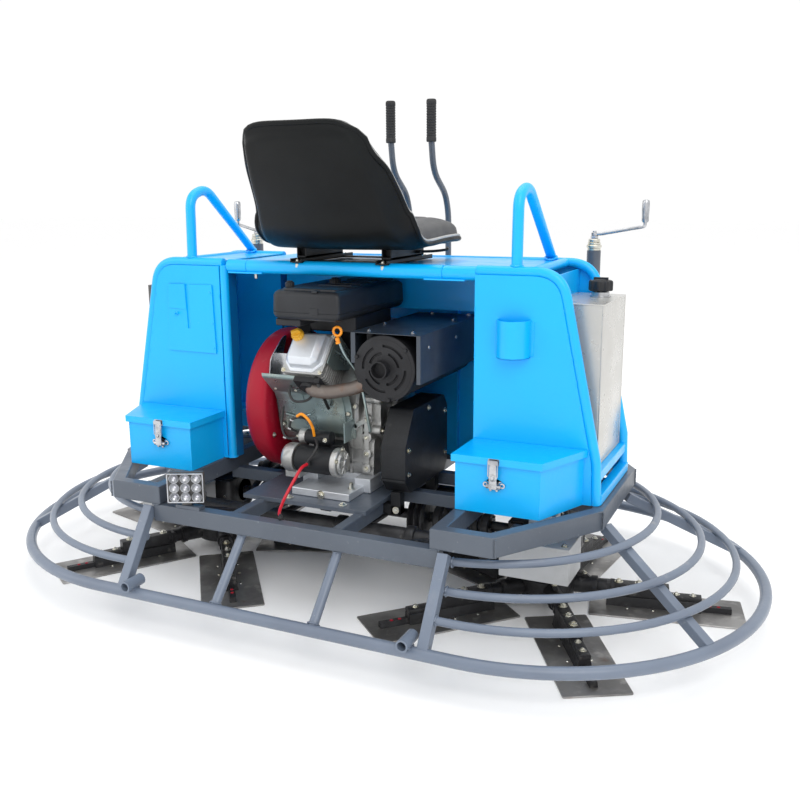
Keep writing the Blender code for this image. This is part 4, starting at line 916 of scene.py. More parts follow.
def build_tower(side, word):
    """One side tower: sheets, rolled rims, webs and tack welds."""
    sheets = []
    webs = []
    rims = []
    tacks = []
    for across in (-1, 1):
        face = across * (PANEL_Y - 0.0012)
        inner = face - across * 0.003
        outline = tower_outline(RIM * 1.75) + [(TOWER_IN - 0.002, BOX_TOP)]
        outline[0] = (TOWER_IN - 0.002, outline[0][1])
        sheets.append(mirrored(prism(outline, "y", min(face, inner), max(face, inner)), side))
        rim = [(x, across * (PANEL_Y - RIM), z) for x, z in tower_outline(RIM)]
        rim[0] = (0.334 if side < 0 else TOWER_IN, rim[0][1], rim[0][2])
        rims.append(mirrored(tube(rim, RIM, 20, up=AHEAD), side))
        post_y = across * (PANEL_Y - 0.012)
        post_x = side * 0.335
        web = sorted((post_y - across * 0.036, post_y))
        if side < 0:
            rims.append(
                tube([(post_x, post_y, BOX_TOP + 0.0004), (post_x, post_y, TOWER_TOP - 0.018)], 0.0112, 20)
            )
            webs.append(box(-0.327, -0.3245, web[0], web[1], BOX_TOP + 0.0004, TOWER_TOP - 0.012))
            tacks.append(ring_bead((post_x, post_y, BOX_TOP + 0.003), UP, 0.0125, 0.0026))
        else:
            webs.append(
                box(
                    0.344, 0.3465, web[0], PANEL_Y - 0.0045 if across > 0 else web[1], BOX_TOP + 0.0004,
                    TOWER_TOP - 0.012,
                )
            )
        seam = tower_outline(RIM * 1.85)[13:]
        for k in range(7):
            t = (k + 0.5) / 7
            a, b = seam[0], seam[2] if t > 0.99 else seam[1]
            x = a[0] + (b[0] - a[0]) * t
            z = a[1] + (b[1] - a[1]) * t
            tacks.append(
                bead(
                    [
                        (side * x, face - across * 0.0005, z - 0.006),
                        (side * (x + 0.001), face - across * 0.0005, z + 0.004),
                    ],
                    0.002,
                )
            )
        for z in (0.52, 0.63, 0.735):
            tacks.append(bead([(side * 0.3455, face, z - 0.006), (side * 0.3455, face, z + 0.006)], 0.0016))
        tacks.append(
            bead(
                [(side * (TOWER_IN + 0.006), face, BOX_TOP + 0.002), (side * 0.61, face, BOX_TOP + 0.002)],
                0.0016,
            )
        )
    deep = PANEL_Y - RIM
    sheets.append(mirrored(box(0.336, 0.462, -deep, deep, TOWER_TOP - 0.01, TOWER_TOP - 0.006), side))
    sheets.append(mirrored(box(0.445, 0.622, -0.154, 0.154, 0.38, 0.384), side))
    sheets.append(mirrored(box(0.501, 0.504, -0.152, 0.152, 0.383, 0.806), side))
    rims.append(
        tube([(side * 0.47, -deep, TOWER_TOP - 0.012), (side * 0.47, deep, TOWER_TOP - 0.012)], 0.0112, 20)
    )
    for x, z in ((0.626, 0.372), (0.633, BOX_TOP + 0.0123)):
        rims.append(bar((side * x, -0.146, z), (side * x, 0.146, z), 0.0113))
    for x in (0.508, 0.612):
        rims.append(mirrored(box(x - 0.004, x + 0.004, -0.11, 0.142, 0.384, 0.3925), side))
    piece(word + "_tower_sheets", sheets, "blue", hides=[word + "_tower"], bevel=0.001)
    piece(word + "_tower_rims", rims, "blue", bevel=0.0018)
    # The webs take the painted-shade copy of the blue paint.
    piece(word + "_tower_webs", webs, "shaded_blue", **FINE)
    piece(word + "_tower_welds", tacks, "blue")


def build_cup_holder():
    """Half-round pocket on the rear face of the right tower."""
    outer, inner = [], []
    middle, half, deep = 0.438, 0.038, 0.044
    for i in range(25):
        angle = math.pi * i / 24
        outer.append((middle + half * math.cos(angle), -PANEL_Y - deep * math.sin(angle)))
        inner.append(
            (middle + (half - 0.0025) * math.cos(angle), -PANEL_Y - (deep - 0.0025) * math.sin(angle))
        )
    wall = prism([(middle + half, -PANEL_Y + 0.003)] + outer + [(middle - half, -PANEL_Y + 0.003)]
                 + [(middle - half + 0.0025, -PANEL_Y + 0.003)] + inner[::-1]
                 + [(middle + half - 0.0025, -PANEL_Y + 0.003)],
                 "z", 0.632, 0.716)
    floor = prism(
        [(middle + half, -PANEL_Y + 0.003)] + outer + [(middle - half, -PANEL_Y + 0.003)], "z", 0.632, 0.635,
    )
    tabs = [
        box(
            middle + half - 0.002, middle + half + 0.008, -PANEL_Y - 0.0005, -PANEL_Y + 0.002, 0.636, 0.712,
        ),
        box(
            middle - half - 0.006, middle - half + 0.002, -PANEL_Y - 0.0005, -PANEL_Y + 0.002, 0.636, 0.712,
        ),
    ]
    piece("cup_holder_shell", [wall, floor] + tabs, "blue", **FINE)


def build_control_cover():
    """Cover plate with a slotted flap on the rear face of the left tower."""
    face = -PANEL_Y - 0.003
    right_part = [(-0.366, 0.764), (-0.44, 0.763), (-0.437, 0.65), (-0.446, 0.649),
                  (-0.449, 0.763), (-0.502, 0.762), (-0.512, 0.588), (-0.361, 0.587)]
    plate = prism(right_part, "y", face, -PANEL_Y + 0.002)
    back = prism(
        [(-0.372, 0.76), (-0.498, 0.758), (-0.506, 0.594), (-0.366, 0.593)], "y", face + 0.003,
        -PANEL_Y + 0.003,
    )
    flap = prism(
        [(-0.4495, 0.764), (-0.502, 0.763), (-0.505, 0.7), (-0.4475, 0.698)], "y", face - 0.0016,
        face + 0.001,
    )
    piece("control_cover", [plate, flap], "blue", bevel=0.0008, segments=1)
    piece("control_cover_back", [back], "blue")
    knob = [dome((-0.478, face - 0.001, 0.687), REAR, 0.005, 0.0045)]
    knob.append(drum((-0.478, face - 0.004, 0.687), REAR, 0.0025, 0.0, 0.009, 0.0006, 12))
    piece("control_cover_knob", knob, "blue")
    screws = []
    for x, z in ((-0.372, 0.745), (-0.368, 0.665), (-0.366, 0.602)):
        screws.append(dome((x, face, z), REAR, 0.003, 0.0018))
    piece("control_cover_screws", screws, "blue")


def build_deck():
    """Seat deck, its round rear rail and the front panel."""
    rail_y = -PANEL_Y + 0.017
    rail_z = 0.813
    solids = [
        tube([(-DECK_X, rail_y, rail_z), (-0.2632, rail_y, rail_z)], 0.0165, 24),
        tube([(-0.2618, rail_y, rail_z), (0.2638, rail_y, rail_z)], 0.017, 24),
        tube([(0.2652, rail_y, rail_z), (TOWER_IN, rail_y, rail_z)], 0.0165, 24),
        tube([(-0.29, rail_y, rail_z), (0.29, rail_y, rail_z)], 0.015, 16),
    ]
    piece("deck_rail", solids, "blue", hides=["seat_deck"], bevel=0.001)
    top = 0.823
    front = 0.232
    sheets = [
        box(-DECK_X, TOWER_IN - 0.002, rail_y + 0.008, front, top - 0.004, top),
        box(-DECK_X, TOWER_IN - 0.002, PANEL_Y - 0.024, PANEL_Y, 0.69, top - 0.002),
        box(-DECK_X, TOWER_IN - 0.002, front - 0.022, front, 0.79, top + 0.002),
    ]
    for x in (-0.268, 0.268):
        sheets.append(
            box(x - 0.05, x + 0.05, rail_y - 0.013, rail_y + 0.014, rail_z - 0.018, rail_z - 0.0135)
        )
    for x in (-0.2, 0.0, 0.2):
        sheets.append(box(x - 0.01, x + 0.01, rail_y, PANEL_Y - 0.02, top - 0.016, top - 0.003))
    piece("deck_sheets", sheets, "blue", bevel=0.0014)
    panel_y = 0.23
    panel = [box(-0.3215, 0.3215, panel_y - SHEET, panel_y, 0.2703, 0.7895)]
    panel.append(box(-0.3215, 0.3215, panel_y - SHEET, panel_y + 0.02, 0.2703, 0.2743))
    for side in (-1, 1):
        a, b = sorted((side * 0.3215, side * 0.3175))
        panel.append(box(a, b, 0.112, panel_y - 0.001, 0.2713, 0.686))
        panel.append(
            box(side * 0.16 - 0.002, side * 0.16 + 0.002, panel_y - 0.016, panel_y - 0.002, 0.275, 0.786)
        )
    piece("front_panel_sheet", panel, "blue", hides=["front_panel"], bevel=0.001)
    fixings = []
    fixings += bolt((-0.243, rail_y, rail_z - 0.018), DOWN, 0.0045, 0.012)
    for x in (-0.3, 0.3):
        for z in (0.32, 0.5, 0.66):
            fixings.append(dome((x, panel_y, z), AHEAD, 0.0055, 0.0032))
    for x in (-0.27, -0.09, 0.09, 0.27):
        fixings.append(dome((x, panel_y + 0.002, 0.806), AHEAD, 0.0055, 0.0032))
    piece("deck_bolts", fixings, "zinc")


def box_side(y, inset):
    """X of the slanted outer side of a tool box, moved in square to its face."""
    slope = (0.612 - 0.551) / (LID_Y - PANEL_Y)
    return 0.551 + (y + LID_Y) * slope - inset * math.sqrt(1.0 + slope * slope)


def box_outline(inset, front, back):
    """Plan of a tool box with its slanted side."""
    inner = 0.347 + inset
    return [(inner, front), (box_side(front, inset), front), (box_side(back, inset), back), (inner, back)]


def open_shell(outer, inner, low, high, floor):
    """Box without a lid: outline walls with a floor."""
    rows = [
        [(x, y, low) for x, y in outer], [(x, y, high) for x, y in outer],
        [(x, y, high) for x, y in inner], [(x, y, floor) for x, y in inner],
    ]
    return loft(rows)


def build_tool_box(side, word):
    """Tool box with its lid and hinge leaves."""
    lid_low = LID_TOP - LID_DEPTH
    wall = LIP + 0.003
    front = -0.1562
    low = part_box(word + "_tool_box")[0][2]
    outer = box_outline(LIP, -LID_Y + LIP, front)
    inner = box_outline(wall, -LID_Y + wall, front - 0.003)
    shell = mirrored(open_shell(outer, inner, low, lid_low + 0.006, low + 0.003), side)
    piece(word + "_box_shell", [shell], "blue", hides=[word + "_tool_box"], bevel=0.0012)
    seams = []
    for x, y in (outer[1], outer[2], outer[3]):
        seams.append(
            bead([(side * (x - 0.0008), y, low + 0.003), (side * (x - 0.0008), y, lid_low - 0.002)], 0.0012)
        )
    piece(word + "_box_seams", seams, "blue")
    rim = box_outline(0.0, -LID_Y, front)
    inside = box_outline(LIP - 0.0008, -LID_Y + LIP - 0.0008, front - 0.0002)
    lid = loft([
        [(x, y, lid_low + 0.0066) for x, y in inside], [(x, y, lid_low) for x, y in inside],
        [(x, y, lid_low) for x, y in rim], [(x, y, LID_TOP) for x, y in rim],
    ])
    piece(
        word + "_lid_plate", [mirrored(lid, side)], "blue", word + "_lid_body", hides=[word + "_box_lid"],
        bevel=0.002, segments=3,
    )
    hinges = []
    for x in (0.385, 0.52):
        hinges.append(
            mirrored(
                box(x - 0.02, x + 0.02, front - 0.022, front - 0.004, LID_TOP - 0.001, LID_TOP + 0.0004),
                side,
            )
        )
        for k in (-0.012, 0.012):
            hinges.append(dome((side * (x + k), front - 0.013, LID_TOP + 0.0002), UP, 0.0028, 0.0006))
    piece(word + "_lid_hinges", hinges, "blue", word + "_lid_body", bevel=0.0005, segments=1)


def lobes(points, radius, steps=10):
    """Outline round a convex set of equal circles."""
    middle = sum((Vector(p) for p in points), Vector((0.0, 0.0))) / len(points)
    ordered = sorted(points, key=lambda p: math.atan2(p[1] - middle.y, p[0] - middle.x))
    result = []
    count = len(ordered)
    for i in range(count):
        before, here, after = (Vector(ordered[(i + k) % count]) for k in (-1, 0, 1))
        start = math.atan2(-(here - before).x, (here - before).y)
        end = math.atan2(-(after - here).x, (after - here).y)
        start, end = start + math.pi, end + math.pi
        while end < start:
            end += 2.0 * math.pi
        for k in range(steps + 1):
            angle = start + (end - start) * k / steps
            result.append((here.x + radius * math.cos(angle), here.y + radius * math.sin(angle)))
    return result


def build_latch(side, word):
    """Toggle latch of a tool box: base, lever and catch."""
    x = side * LATCH_X
    wall = -LID_Y + LIP - 0.0002
    face = -LID_Y - 0.0013
    base = lobes([(x - 0.019, 0.377), (x + 0.019, 0.377), (x, 0.402)], 0.0085)
    plate = prism(base, "y", wall - 0.0022, wall)
    eyes = [
        pipe((x + k * 0.019, wall - 0.0015, 0.377), REAR, 0.006, 0.003, 0.0, 0.0022, 18) for k in (-1, 1)
    ]
    foot = [
        drum((x + k * 0.007, wall - 0.0015, 0.366), REAR, 0.003, 0.0, 0.004, 0.0006, 12) for k in (-1, 1)
    ]
    piece(word + "_latch_base", [plate] + eyes + foot, "chrome", bevel=0.0005)
    barrel = drum((x, wall - 0.0001 - 0.0055, 0.374), RIGHT, 0.0052, -0.0165, 0.0165, 0.0006, 20)
    arm = prism(
        fillet([(x - 0.009, 0.374), (x + 0.009, 0.374), (x + 0.0075, 0.426), (x - 0.0075, 0.426)], 0.003),
        "y", face - 0.004, face - 0.0015,
    )
    knee = prism(fillet(rect(x - 0.009, x + 0.009, 0.37, 0.38), 0.003), "y", face - 0.0045, wall - 0.004)
    wire = []
    for k in (-1, 1):
        wire.append(
            tube(
                [(x + k * 0.0105, face - 0.0045, 0.398), (x + k * 0.0105, face - 0.0035, 0.43)], 0.0014, 10,
            )
        )
    wire.append(
        tube([(x - 0.0105, face - 0.0035, 0.43), (x + 0.0105, face - 0.0035, 0.43)], 0.0014, 10, up=AHEAD)
    )
    boss = spin([(0.0, 0.0085), (0.004, 0.0085), (0.0048, 0.0075), (0.0048, 0.0045),
                 (0.0092, 0.0038), (0.01, 0.0025), (0.01, 0.0)],
                (x, face - 0.0005, 0.396), REAR, 24)
    head = prism(
        fillet(rect(x - 0.0115, x + 0.0115, 0.424, 0.434), 0.002), "y", face - 0.0055, face - 0.004,
    )
    piece(
        word + "_latch_lever", [barrel, arm, knee, boss, head] + wire, "chrome", word + "_latch_body",
        hides=[word + "_box_latch"], bevel=0.0004,
    )
    catch = prism(
        fillet(rect(x - 0.0125, x + 0.0125, 0.4215, 0.4362), 0.002), "y", -LID_Y - 0.001, -LID_Y + 0.001,
    )
    piece(word + "_latch_catch", [catch], "chrome", word + "_lid_body", bevel=0.0003)


# ---- tanks, handles, levers and cranks ------------------------------------
TANK_TOP = 0.75


def build_fuel_tank():
    """Pale tank on the right, with its seams and folded ends."""
    low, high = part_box("fuel_tank")
    outline = fillet(rect(0.505, 0.622, low[1], high[1]), 0.006, 4)
    body = prism(outline, "z", low[2] + 0.0005, TANK_TOP - 0.0005)
    seams = []
    for y in (low[1] + 0.0015, high[1] - 0.0015):
        seams.append(bar((0.6205, y, low[2] + 0.002), (0.6205, y, 0.749), 0.0018))
    ridge = prism(
        fillet(rect(0.5035, 0.6235, low[1] - 0.001, high[1] + 0.001), 0.006, 4), "z", 0.7465, 0.75,
    )
    foot = prism(
        fillet(rect(0.5035, 0.6235, low[1] - 0.001, high[1] + 0.001), 0.006, 4), "z", low[2],
        low[2] + 0.0035,
    )
    piece("fuel_tank_shell", [body, ridge, foot] + seams, "tank", hides=["fuel_tank"], bevel=0.0012)


def cap_axis():
    """Place of the fuel cap's axis."""
    low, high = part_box("fuel_cap")
    return (low[0] + high[0]) / 2.0, (low[1] + high[1]) / 2.0, 0.0


def build_fuel_cap():
    """Neck and lobed cap of the fuel tank."""
    neck = cap_axis()
    ring = [
        pipe(neck, UP, 0.0205, 0.016, TANK_TOP - 0.0005, 0.7615, 36),
        drum(neck, UP, 0.0245, TANK_TOP - 0.0005, 0.7525, 0.0008, 36),
    ]
    piece("fuel_neck", ring, "chrome", bevel=0.0004)
    lobed = []
    for i in range(96):
        angle = 2.0 * math.pi * i / 96
        radius = 0.0268 + 0.0016 * math.tanh(2.4 * math.cos(8.0 * angle))
        lobed.append((neck[0] + radius * math.cos(angle), neck[1] + radius * math.sin(angle)))
    shrunk = [(neck[0] + (x - neck[0]) * 0.93, neck[1] + (y - neck[1]) * 0.93) for x, y in lobed]
    cap = loft([
        [(x, y, 0.764) for x, y in shrunk], [(x, y, 0.766) for x, y in lobed],
        [(x, y, 0.784) for x, y in lobed], [(x, y, 0.788) for x, y in shrunk],
    ])
    knob = spin(
        [(0.0, 0.7915), (0.012, 0.7915), (0.0165, 0.79), (0.019, 0.787), (0.019, 0.77), (0.0, 0.77)], neck,
        UP, 32,
    )
    grip = box(neck[0] - 0.017, neck[0] + 0.017, neck[1] - 0.0035, neck[1] + 0.0035, 0.786, 0.795)
    piece(
        "fuel_cap_moulding", [cap, knob, grip], "black_plastic", "fuel_cap_body", hides=["fuel_cap"],
        bevel=0.0007,
    )


def build_water_tank():
    """Tank on the left, its shell drawn dark as painted shade."""
    low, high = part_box("water_tank")
    outline = fillet(rect(low[0], high[0], low[1], high[1]), 0.01, 5)
    body = prism(outline, "z", low[2] + 0.0005, TANK_TOP - 0.0005)
    ribs = [
        prism(
            fillet(rect(low[0] - 0.0012, high[0], low[1] - 0.0012, high[1] + 0.0012), 0.01, 5), "z", z,
            z + 0.006,
        )
        for z in (0.46, 0.57, 0.68)
    ]
    neck = cap_axis()
    neck = (-neck[0], neck[1], 0.0)
    top = drum(neck, UP, 0.0205, TANK_TOP - 0.0005, 0.7615, 0.001, 36)
    piece("water_tank_shell", [body, top] + ribs, "dark_tank", hides=["water_tank"], bevel=0.002)


def build_handle(word):
    """Bent grab handle on a tower."""
    low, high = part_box(word + "_handle")
    x = (low[0] + high[0]) / 2.0
    path = rounded(
        [(x, -0.138, 0.8314), (x, -0.134, 0.984), (x, -0.068, 1.004), (x, 0.138, 0.8314)], 0.048, 10,
    )
    verts, faces = tube(path, 0.0125, 24, up=RIGHT)
    verts = [
        (v[0], v[1], max(v[2], 0.8314)) if i < 24 or i >= len(verts) - 24 else v
        for i, v in enumerate(verts)
    ]
    piece(word + "_handle_tube", [(verts, faces)], "blue", hides=[word + "_handle"])
    welds = [
        ring_bead((x, -0.138, 0.8325), UP, 0.013, 0.0028),
        ring_bead((x, 0.132, 0.833), (0, -0.35, 1), 0.0145, 0.0028),
    ]
    piece(word + "_handle_welds", welds, "blue")


def build_lever(side, word):
    """Steering lever with its ribbed grip."""
    x = side * 0.06
    y, z = 0.395, 0.335
    path = rounded(
        [(x, y, z), (x, y, 0.93), (x, 0.372, 0.985), (x, 0.285, 1.045), (x, 0.27, 1.13)], 0.055, 10,
    )
    rod = tube(path, 0.0085, 20, up=RIGHT)
    boss = pipe((x, y, z), RIGHT, 0.018, 0.0062, -0.012, 0.012, 28)
    piece(
        word + "_lever_rod", [rod, boss], "lever", word + "_lever_body", hides=[word + "_lever"],
        bevel=0.0008,
    )
    profile = [(0.0, 1.232), (0.0105, 1.232), (0.0128, 1.2295), (0.0135, 1.226), (0.0135, 1.219)]
    rings = 12
    for k in range(rings):
        top = 1.217 - k * 0.0068
        profile += [(0.0122, top), (0.0132, top - 0.0012), (0.0132, top - 0.0046), (0.0122, top - 0.0058)]
    profile += [(0.0135, 1.133), (0.0135, 1.124), (0.012, 1.122), (0.0, 1.122)]
    grip = spin(profile, (x, 0.27, 0.0), UP, 24)
    piece(word + "_lever_grip", [grip], "rubber", word + "_lever_body")


def build_lever_stand():
    """Foot of the steering levers with its ears and pivot pins."""
    low = 0.2703
    solids = [prism(fillet(rect(-0.11, 0.11, 0.365, 0.425), 0.008), "z", low, low + 0.008)]
    pins = []
    for side in (-1, 1):
        for offset in (-0.0168, 0.0168):
            x = side * 0.06 + offset
            ear = fillet([(0.375, low), (0.415, low), (0.412, 0.352), (0.378, 0.352)], 0.012)
            solids.append(prism(ear, "x", x - 0.0045, x + 0.0045))
        pins.append(drum((side * 0.06, 0.395, 0.335), RIGHT, 0.0058, -0.0245, 0.0245, 0.0008, 16))
        pins += bolt((side * 0.06 + 0.0216, 0.395, 0.335), RIGHT, 0.0075, 0.005)
        pins += bolt((side * 0.06 - 0.0216, 0.395, 0.335), LEFT, 0.0075, 0.005)
    for x in (-0.095, -0.005, 0.095):
        pins += bolt((x, 0.395, low + 0.008), UP, 0.006, 0.006)
    piece("lever_stand_plates", solids, "lever", hides=["lever_stand"], bevel=0.0012)
    piece("lever_stand_bolts", pins, "zinc")


def build_jack(side, word):
    """Blade pitch post, its screw head and the crank."""
    x, y = side * 0.508, 0.275
    at = (x, y, 0.0)
    post = [drum(at, UP, 0.0175, 0.3163, 0.843, 0.0006, 28)]
    reach = sorted((x - side * 0.075, x + side * 0.052))
    post.append(prism(fillet(rect(reach[0], reach[1], y - 0.045, y + 0.045), 0.008), "z", 0.3093, 0.3163))
    post.append(box(x - 0.012, x + 0.012, 0.1563, y, 0.74, 0.758))
    post.append(ring_bead((x, y, 0.318), UP, 0.0182, 0.003))
    piece(word + "_jack_tube", post, "lever", hides=[word + "_pitch_post"], bevel=0.001)
    rings = [
        drum(at, UP, 0.0165, 0.8425, 0.849, 0.001, 32), drum(at, UP, 0.019, 0.849, 0.857, 0.0015, 32),
        drum(at, UP, 0.0162, 0.857, 0.863, 0.001, 32), drum(at, UP, 0.0148, 0.863, 0.8718, 0.0015, 32),
    ]
    for k in (-0.04, 0.032):
        for j in (-0.032, 0.032):
            rings += bolt((x + side * k, y + j, 0.3163), UP, 0.0055, 0.006)
    piece(word + "_jack_collars", rings, "zinc", bevel=0.0004)
    low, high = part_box(word + "_crank_grip")
    knee = Vector(((low[0] + high[0]) / 2.0, (low[1] + high[1]) / 2.0, low[2] - 0.01))
    centre = Vector((x, y, 0.884))
    reach = Vector((knee.x - x, knee.y - y, 0.0))
    rod = rounded(
        [centre, centre + reach * 0.12, knee, knee + Vector((0, 0, 0.012)), knee + Vector((0, 0, 0.065))],
        0.01, 6,
    )
    arm = [tube(rod, 0.0045, 14, up=(0.3, 0.5, 0.0))]
    arm.append(drum(at, UP, 0.0098, 0.8723, 0.8795, 0.0008, 6))
    arm.append(drum(at, UP, 0.0082, 0.8795, 0.888, 0.0012, 24))
    arm.append(drum(at, UP, 0.005, 0.888, 0.8925, 0.0012, 16))
    piece(
        word + "_crank_arm", arm, "chrome", word + "_crank_body", hides=[word + "_pitch_crank"],
        bevel=0.0004,
    )
    grip = []
    base = knee.z + 0.01
    for height, radius in (
        (0.0, 0.0072), (0.004, 0.0088), (0.01, 0.0086), (0.03, 0.0094), (0.046, 0.0094), (0.052, 0.0086),
        (0.054, 0.0074),
    ):
        grip.append((radius, base + height))
    loops = []
    for radius, height in grip + [(0.005, base + 0.054), (0.005, base)]:
        loops.append(
            [
                (
                    knee.x + radius * math.cos(2 * math.pi * j / 24),
                    knee.y + radius * math.sin(2 * math.pi * j / 24), height,
                )
                for j in range(24)
            ]
        )
    piece(
        word + "_grip_sleeve", [loft(loops, closed=True)], "chrome", word + "_grip_body",
        hides=[word + "_crank_grip"],
    )


# ---- seat -----------------------------------------------------------------
SEAT_KNOTS = (
    (0.122, 0.864), (0.08, 0.869), (0.0, 0.868), (-0.1, 0.864), (-0.175, 0.87),
    (-0.228, 0.898), (-0.262, 0.955), (-0.3, 1.025), (-0.332, 1.09), (-0.35, 1.135),
)
SEAT_WING = 0.052
SEAT_TOP_DROP = 0.115


def ease(value):
    """Smooth step from 0 to 1."""
    value = min(1.0, max(0.0, value))
    return value * value * (3.0 - 2.0 * value)


def seat_curve(t):
    """Centre line of the seat from the front of the pan to the top of the back."""
    place = t * (len(SEAT_KNOTS) - 1)
    i = min(int(place), len(SEAT_KNOTS) - 2)
    f = place - i
    a, b = SEAT_KNOTS[max(i - 1, 0)], SEAT_KNOTS[i]
    c, d = SEAT_KNOTS[i + 1], SEAT_KNOTS[min(i + 2, len(SEAT_KNOTS) - 1)]
    point = []
    for k in range(2):
        value = 2 * b[k] + (c[k] - a[k]) * f
        value += (2 * a[k] - 5 * b[k] + 4 * c[k] - d[k]) * f * f
        value += (3 * b[k] - a[k] - 3 * c[k] + d[k]) * f ** 3
        point.append(value / 2.0)
    return point


def seat_half(t):
    """Half width of the seat at t."""
    narrow = 1.0 - 0.12 * max(0.0, 1.0 - t / 0.12) ** 2
    return SEAT_HALF * narrow - (SEAT_HALF - SEAT_TOP_HALF) * max(0.0, (t - 0.46) / 0.54)


def seat_point(t, s, offset, inset=0.0):
    """Point of the seat: t along it, s across it from -1 to 1, offset along its normal."""
    u = t - SEAT_TOP_DROP * abs(s) ** 5 * ease((t - 0.72) / 0.28)
    y, z = seat_curve(u)
    y2, z2 = seat_curve(min(1.0, u + 0.01))
    y1, z1 = seat_curve(max(0.0, u - 0.01))
    along = Vector((y2 - y1, z2 - z1)).normalized()
    normal = Vector((along.y, -along.x))
    deep = 0.006 + SEAT_WING * ease((t - 0.34) / 0.22) - 0.58 * SEAT_WING * ease((t - 0.6) / 0.4)
    wing = deep * (0.4 * s * s + 0.6 * ease((abs(s) - 0.8) / 0.2))
    shift = normal * (offset + wing)
    return Vector((s * (seat_half(t) - inset), y + shift.x, z + shift.y))


def seat_grid(low, high, rows, columns, inset):
    """Slab of the seat between two offset functions of (t, s)."""
    first, last = [], []
    for i in range(rows + 1):
        for j in range(columns + 1):
            t, s = i / rows, 2.0 * j / columns - 1.0
            first.append(seat_point(t, s, low(t, s), inset))
            last.append(seat_point(t, s, high(t, s), inset))
    count = columns + 1
    total = len(first)
    faces = []
    for i in range(rows):
        for j in range(columns):
            a = i * count + j
            faces.append((a, a + count, a + count + 1, a + 1))
            faces.append((total + a, total + a + 1, total + a + count + 1, total + a + count))
    rim = list(range(count)) + [i * count + columns for i in range(1, rows + 1)]
    rim += [
        rows * count + j for j in range(columns - 1, -1, -1)
    ] + [i * count for i in range(rows - 1, 0, -1)]
    for a, b in zip(rim, rim[1:] + rim[:1]):
        faces.append((a, b, total + b, total + a))
    return first + last, faces


def seat_edge(offset, inset):
    """Path round the edge of the seat."""
    points = [seat_point(0.0, -1 + 2 * j / 24, offset, inset) for j in range(24)]
    points += [seat_point(i / 64, 1.0, offset, inset) for i in range(64)]
    points += [seat_point(1.0, 1 - 2 * j / 24, offset, inset) for j in range(24)]
    points += [seat_point(1 - i / 64, -1.0, offset, inset) for i in range(64)]
    return points


def build_seat_shell():
    """Moulded shell with a raised panel, a rolled rim and the piping above it."""
    def panel(t, s):
        """Raised middle of the shell inside its flat border."""
        across = ease((0.93 - abs(s)) / 0.1)
        along = ease((min(t, 1.0 - t) - 0.035) / 0.05)
        return -0.006 * across * along

    shell = seat_grid(panel, lambda t, s: 0.008, 96, 56, 0.0)
    rim = tube(seat_edge(0.004, 0.002), 0.0062, 12, closed=True)
    piece("seat_moulding", [shell, rim], "seat_plastic", "seat_body", hides=["seat_shell"], angle=60.0)
    piping = tube(seat_edge(0.011, 0.003), 0.004, 10, closed=True)
    piece("seat_piping", [piping], "piping", "seat_body", angle=70.0)


def build_seat_pad():
    """Crowned cushion with its sewn channels."""
    def pad(t, s):
        """Crowned pad with a deep crease, two sewn channels and small pleats at the crease."""
        edge = (1.0 - abs(s) ** 7) ** 0.5 * (1.0 - abs(2.0 * t - 1.0) ** 16) ** 0.5
        crown = 0.034 + 0.006 * (1.0 - s * s) + 0.012 * (1.0 - ease((t - 0.3) / 0.15))
        crease = 0.016 * math.exp(-((t - 0.47) / 0.022) ** 2)
        pleat = 0.0016 * math.exp(-((t - 0.45) / 0.055) ** 2) * math.sin(t * 420.0) * (0.4 + 0.6 * abs(s))
        seam = 0.0045 * math.exp(-((abs(s) - 0.62) / 0.018) ** 2)
        return 0.0115 + max(0.0, crown - crease - seam + pleat) * edge

    cushion = seat_grid(lambda t, s: 0.0095, pad, 150, 72, 0.0055)
    item = piece("seat_pad", [cushion], "vinyl", "seat_body", hides=["seat_cushion"], angle=70.0)
    threads = []
    for s in (-0.62, 0.62):
        threads.append(
            tube(
                [
                    seat_point(0.06 + 0.36 * k / 60, s, pad(0.06 + 0.36 * k / 60, s), 0.0055)
                    for k in range(61)
                ],
                0.0011, 6,
            )
        )
        threads.append(
            tube(
                [
                    seat_point(0.52 + 0.42 * k / 60, s, pad(0.52 + 0.42 * k / 60, s), 0.0055)
                    for k in range(61)
                ],
                0.0011, 6,
            )
        )
    piece("seat_seams", threads, "wire", "seat_body", angle=70.0)


def build_seat_runners():
    """Sliding runners under the shell and the release lever."""
    runners = []
    for side in (-1, 1):
        x = side * 0.115
        runners.append(box(x - 0.013, x + 0.013, -0.13, 0.06, 0.837, 0.842))
        runners.append(box(x - 0.013, x - 0.01, -0.13, 0.06, 0.837, 0.86))
        runners.append(box(x + 0.01, x + 0.013, -0.13, 0.06, 0.837, 0.86))
        runners.append(box(x - 0.011, x + 0.011, -0.112, -0.088, 0.84, 0.866))
        runners.append(box(x - 0.011, x + 0.011, 0.02, 0.046, 0.84, 0.869))
    piece("seat_runners", runners, "black_paint", "seat_body", bevel=0.0008, segments=1)
    lever = tube(
        rounded(
            [(0.135, 0.02, 0.8475), (0.165, 0.05, 0.8475), (0.185, 0.085, 0.85), (0.17, 0.112, 0.852)], 0.02,
        ),
        0.0035, 10,
    )
    piece(
        "seat_slide_lever", [lever, box(0.126, 0.14, 0.01, 0.03, 0.844, 0.851)], "black_paint", "seat_body",
        **FINE,
    )


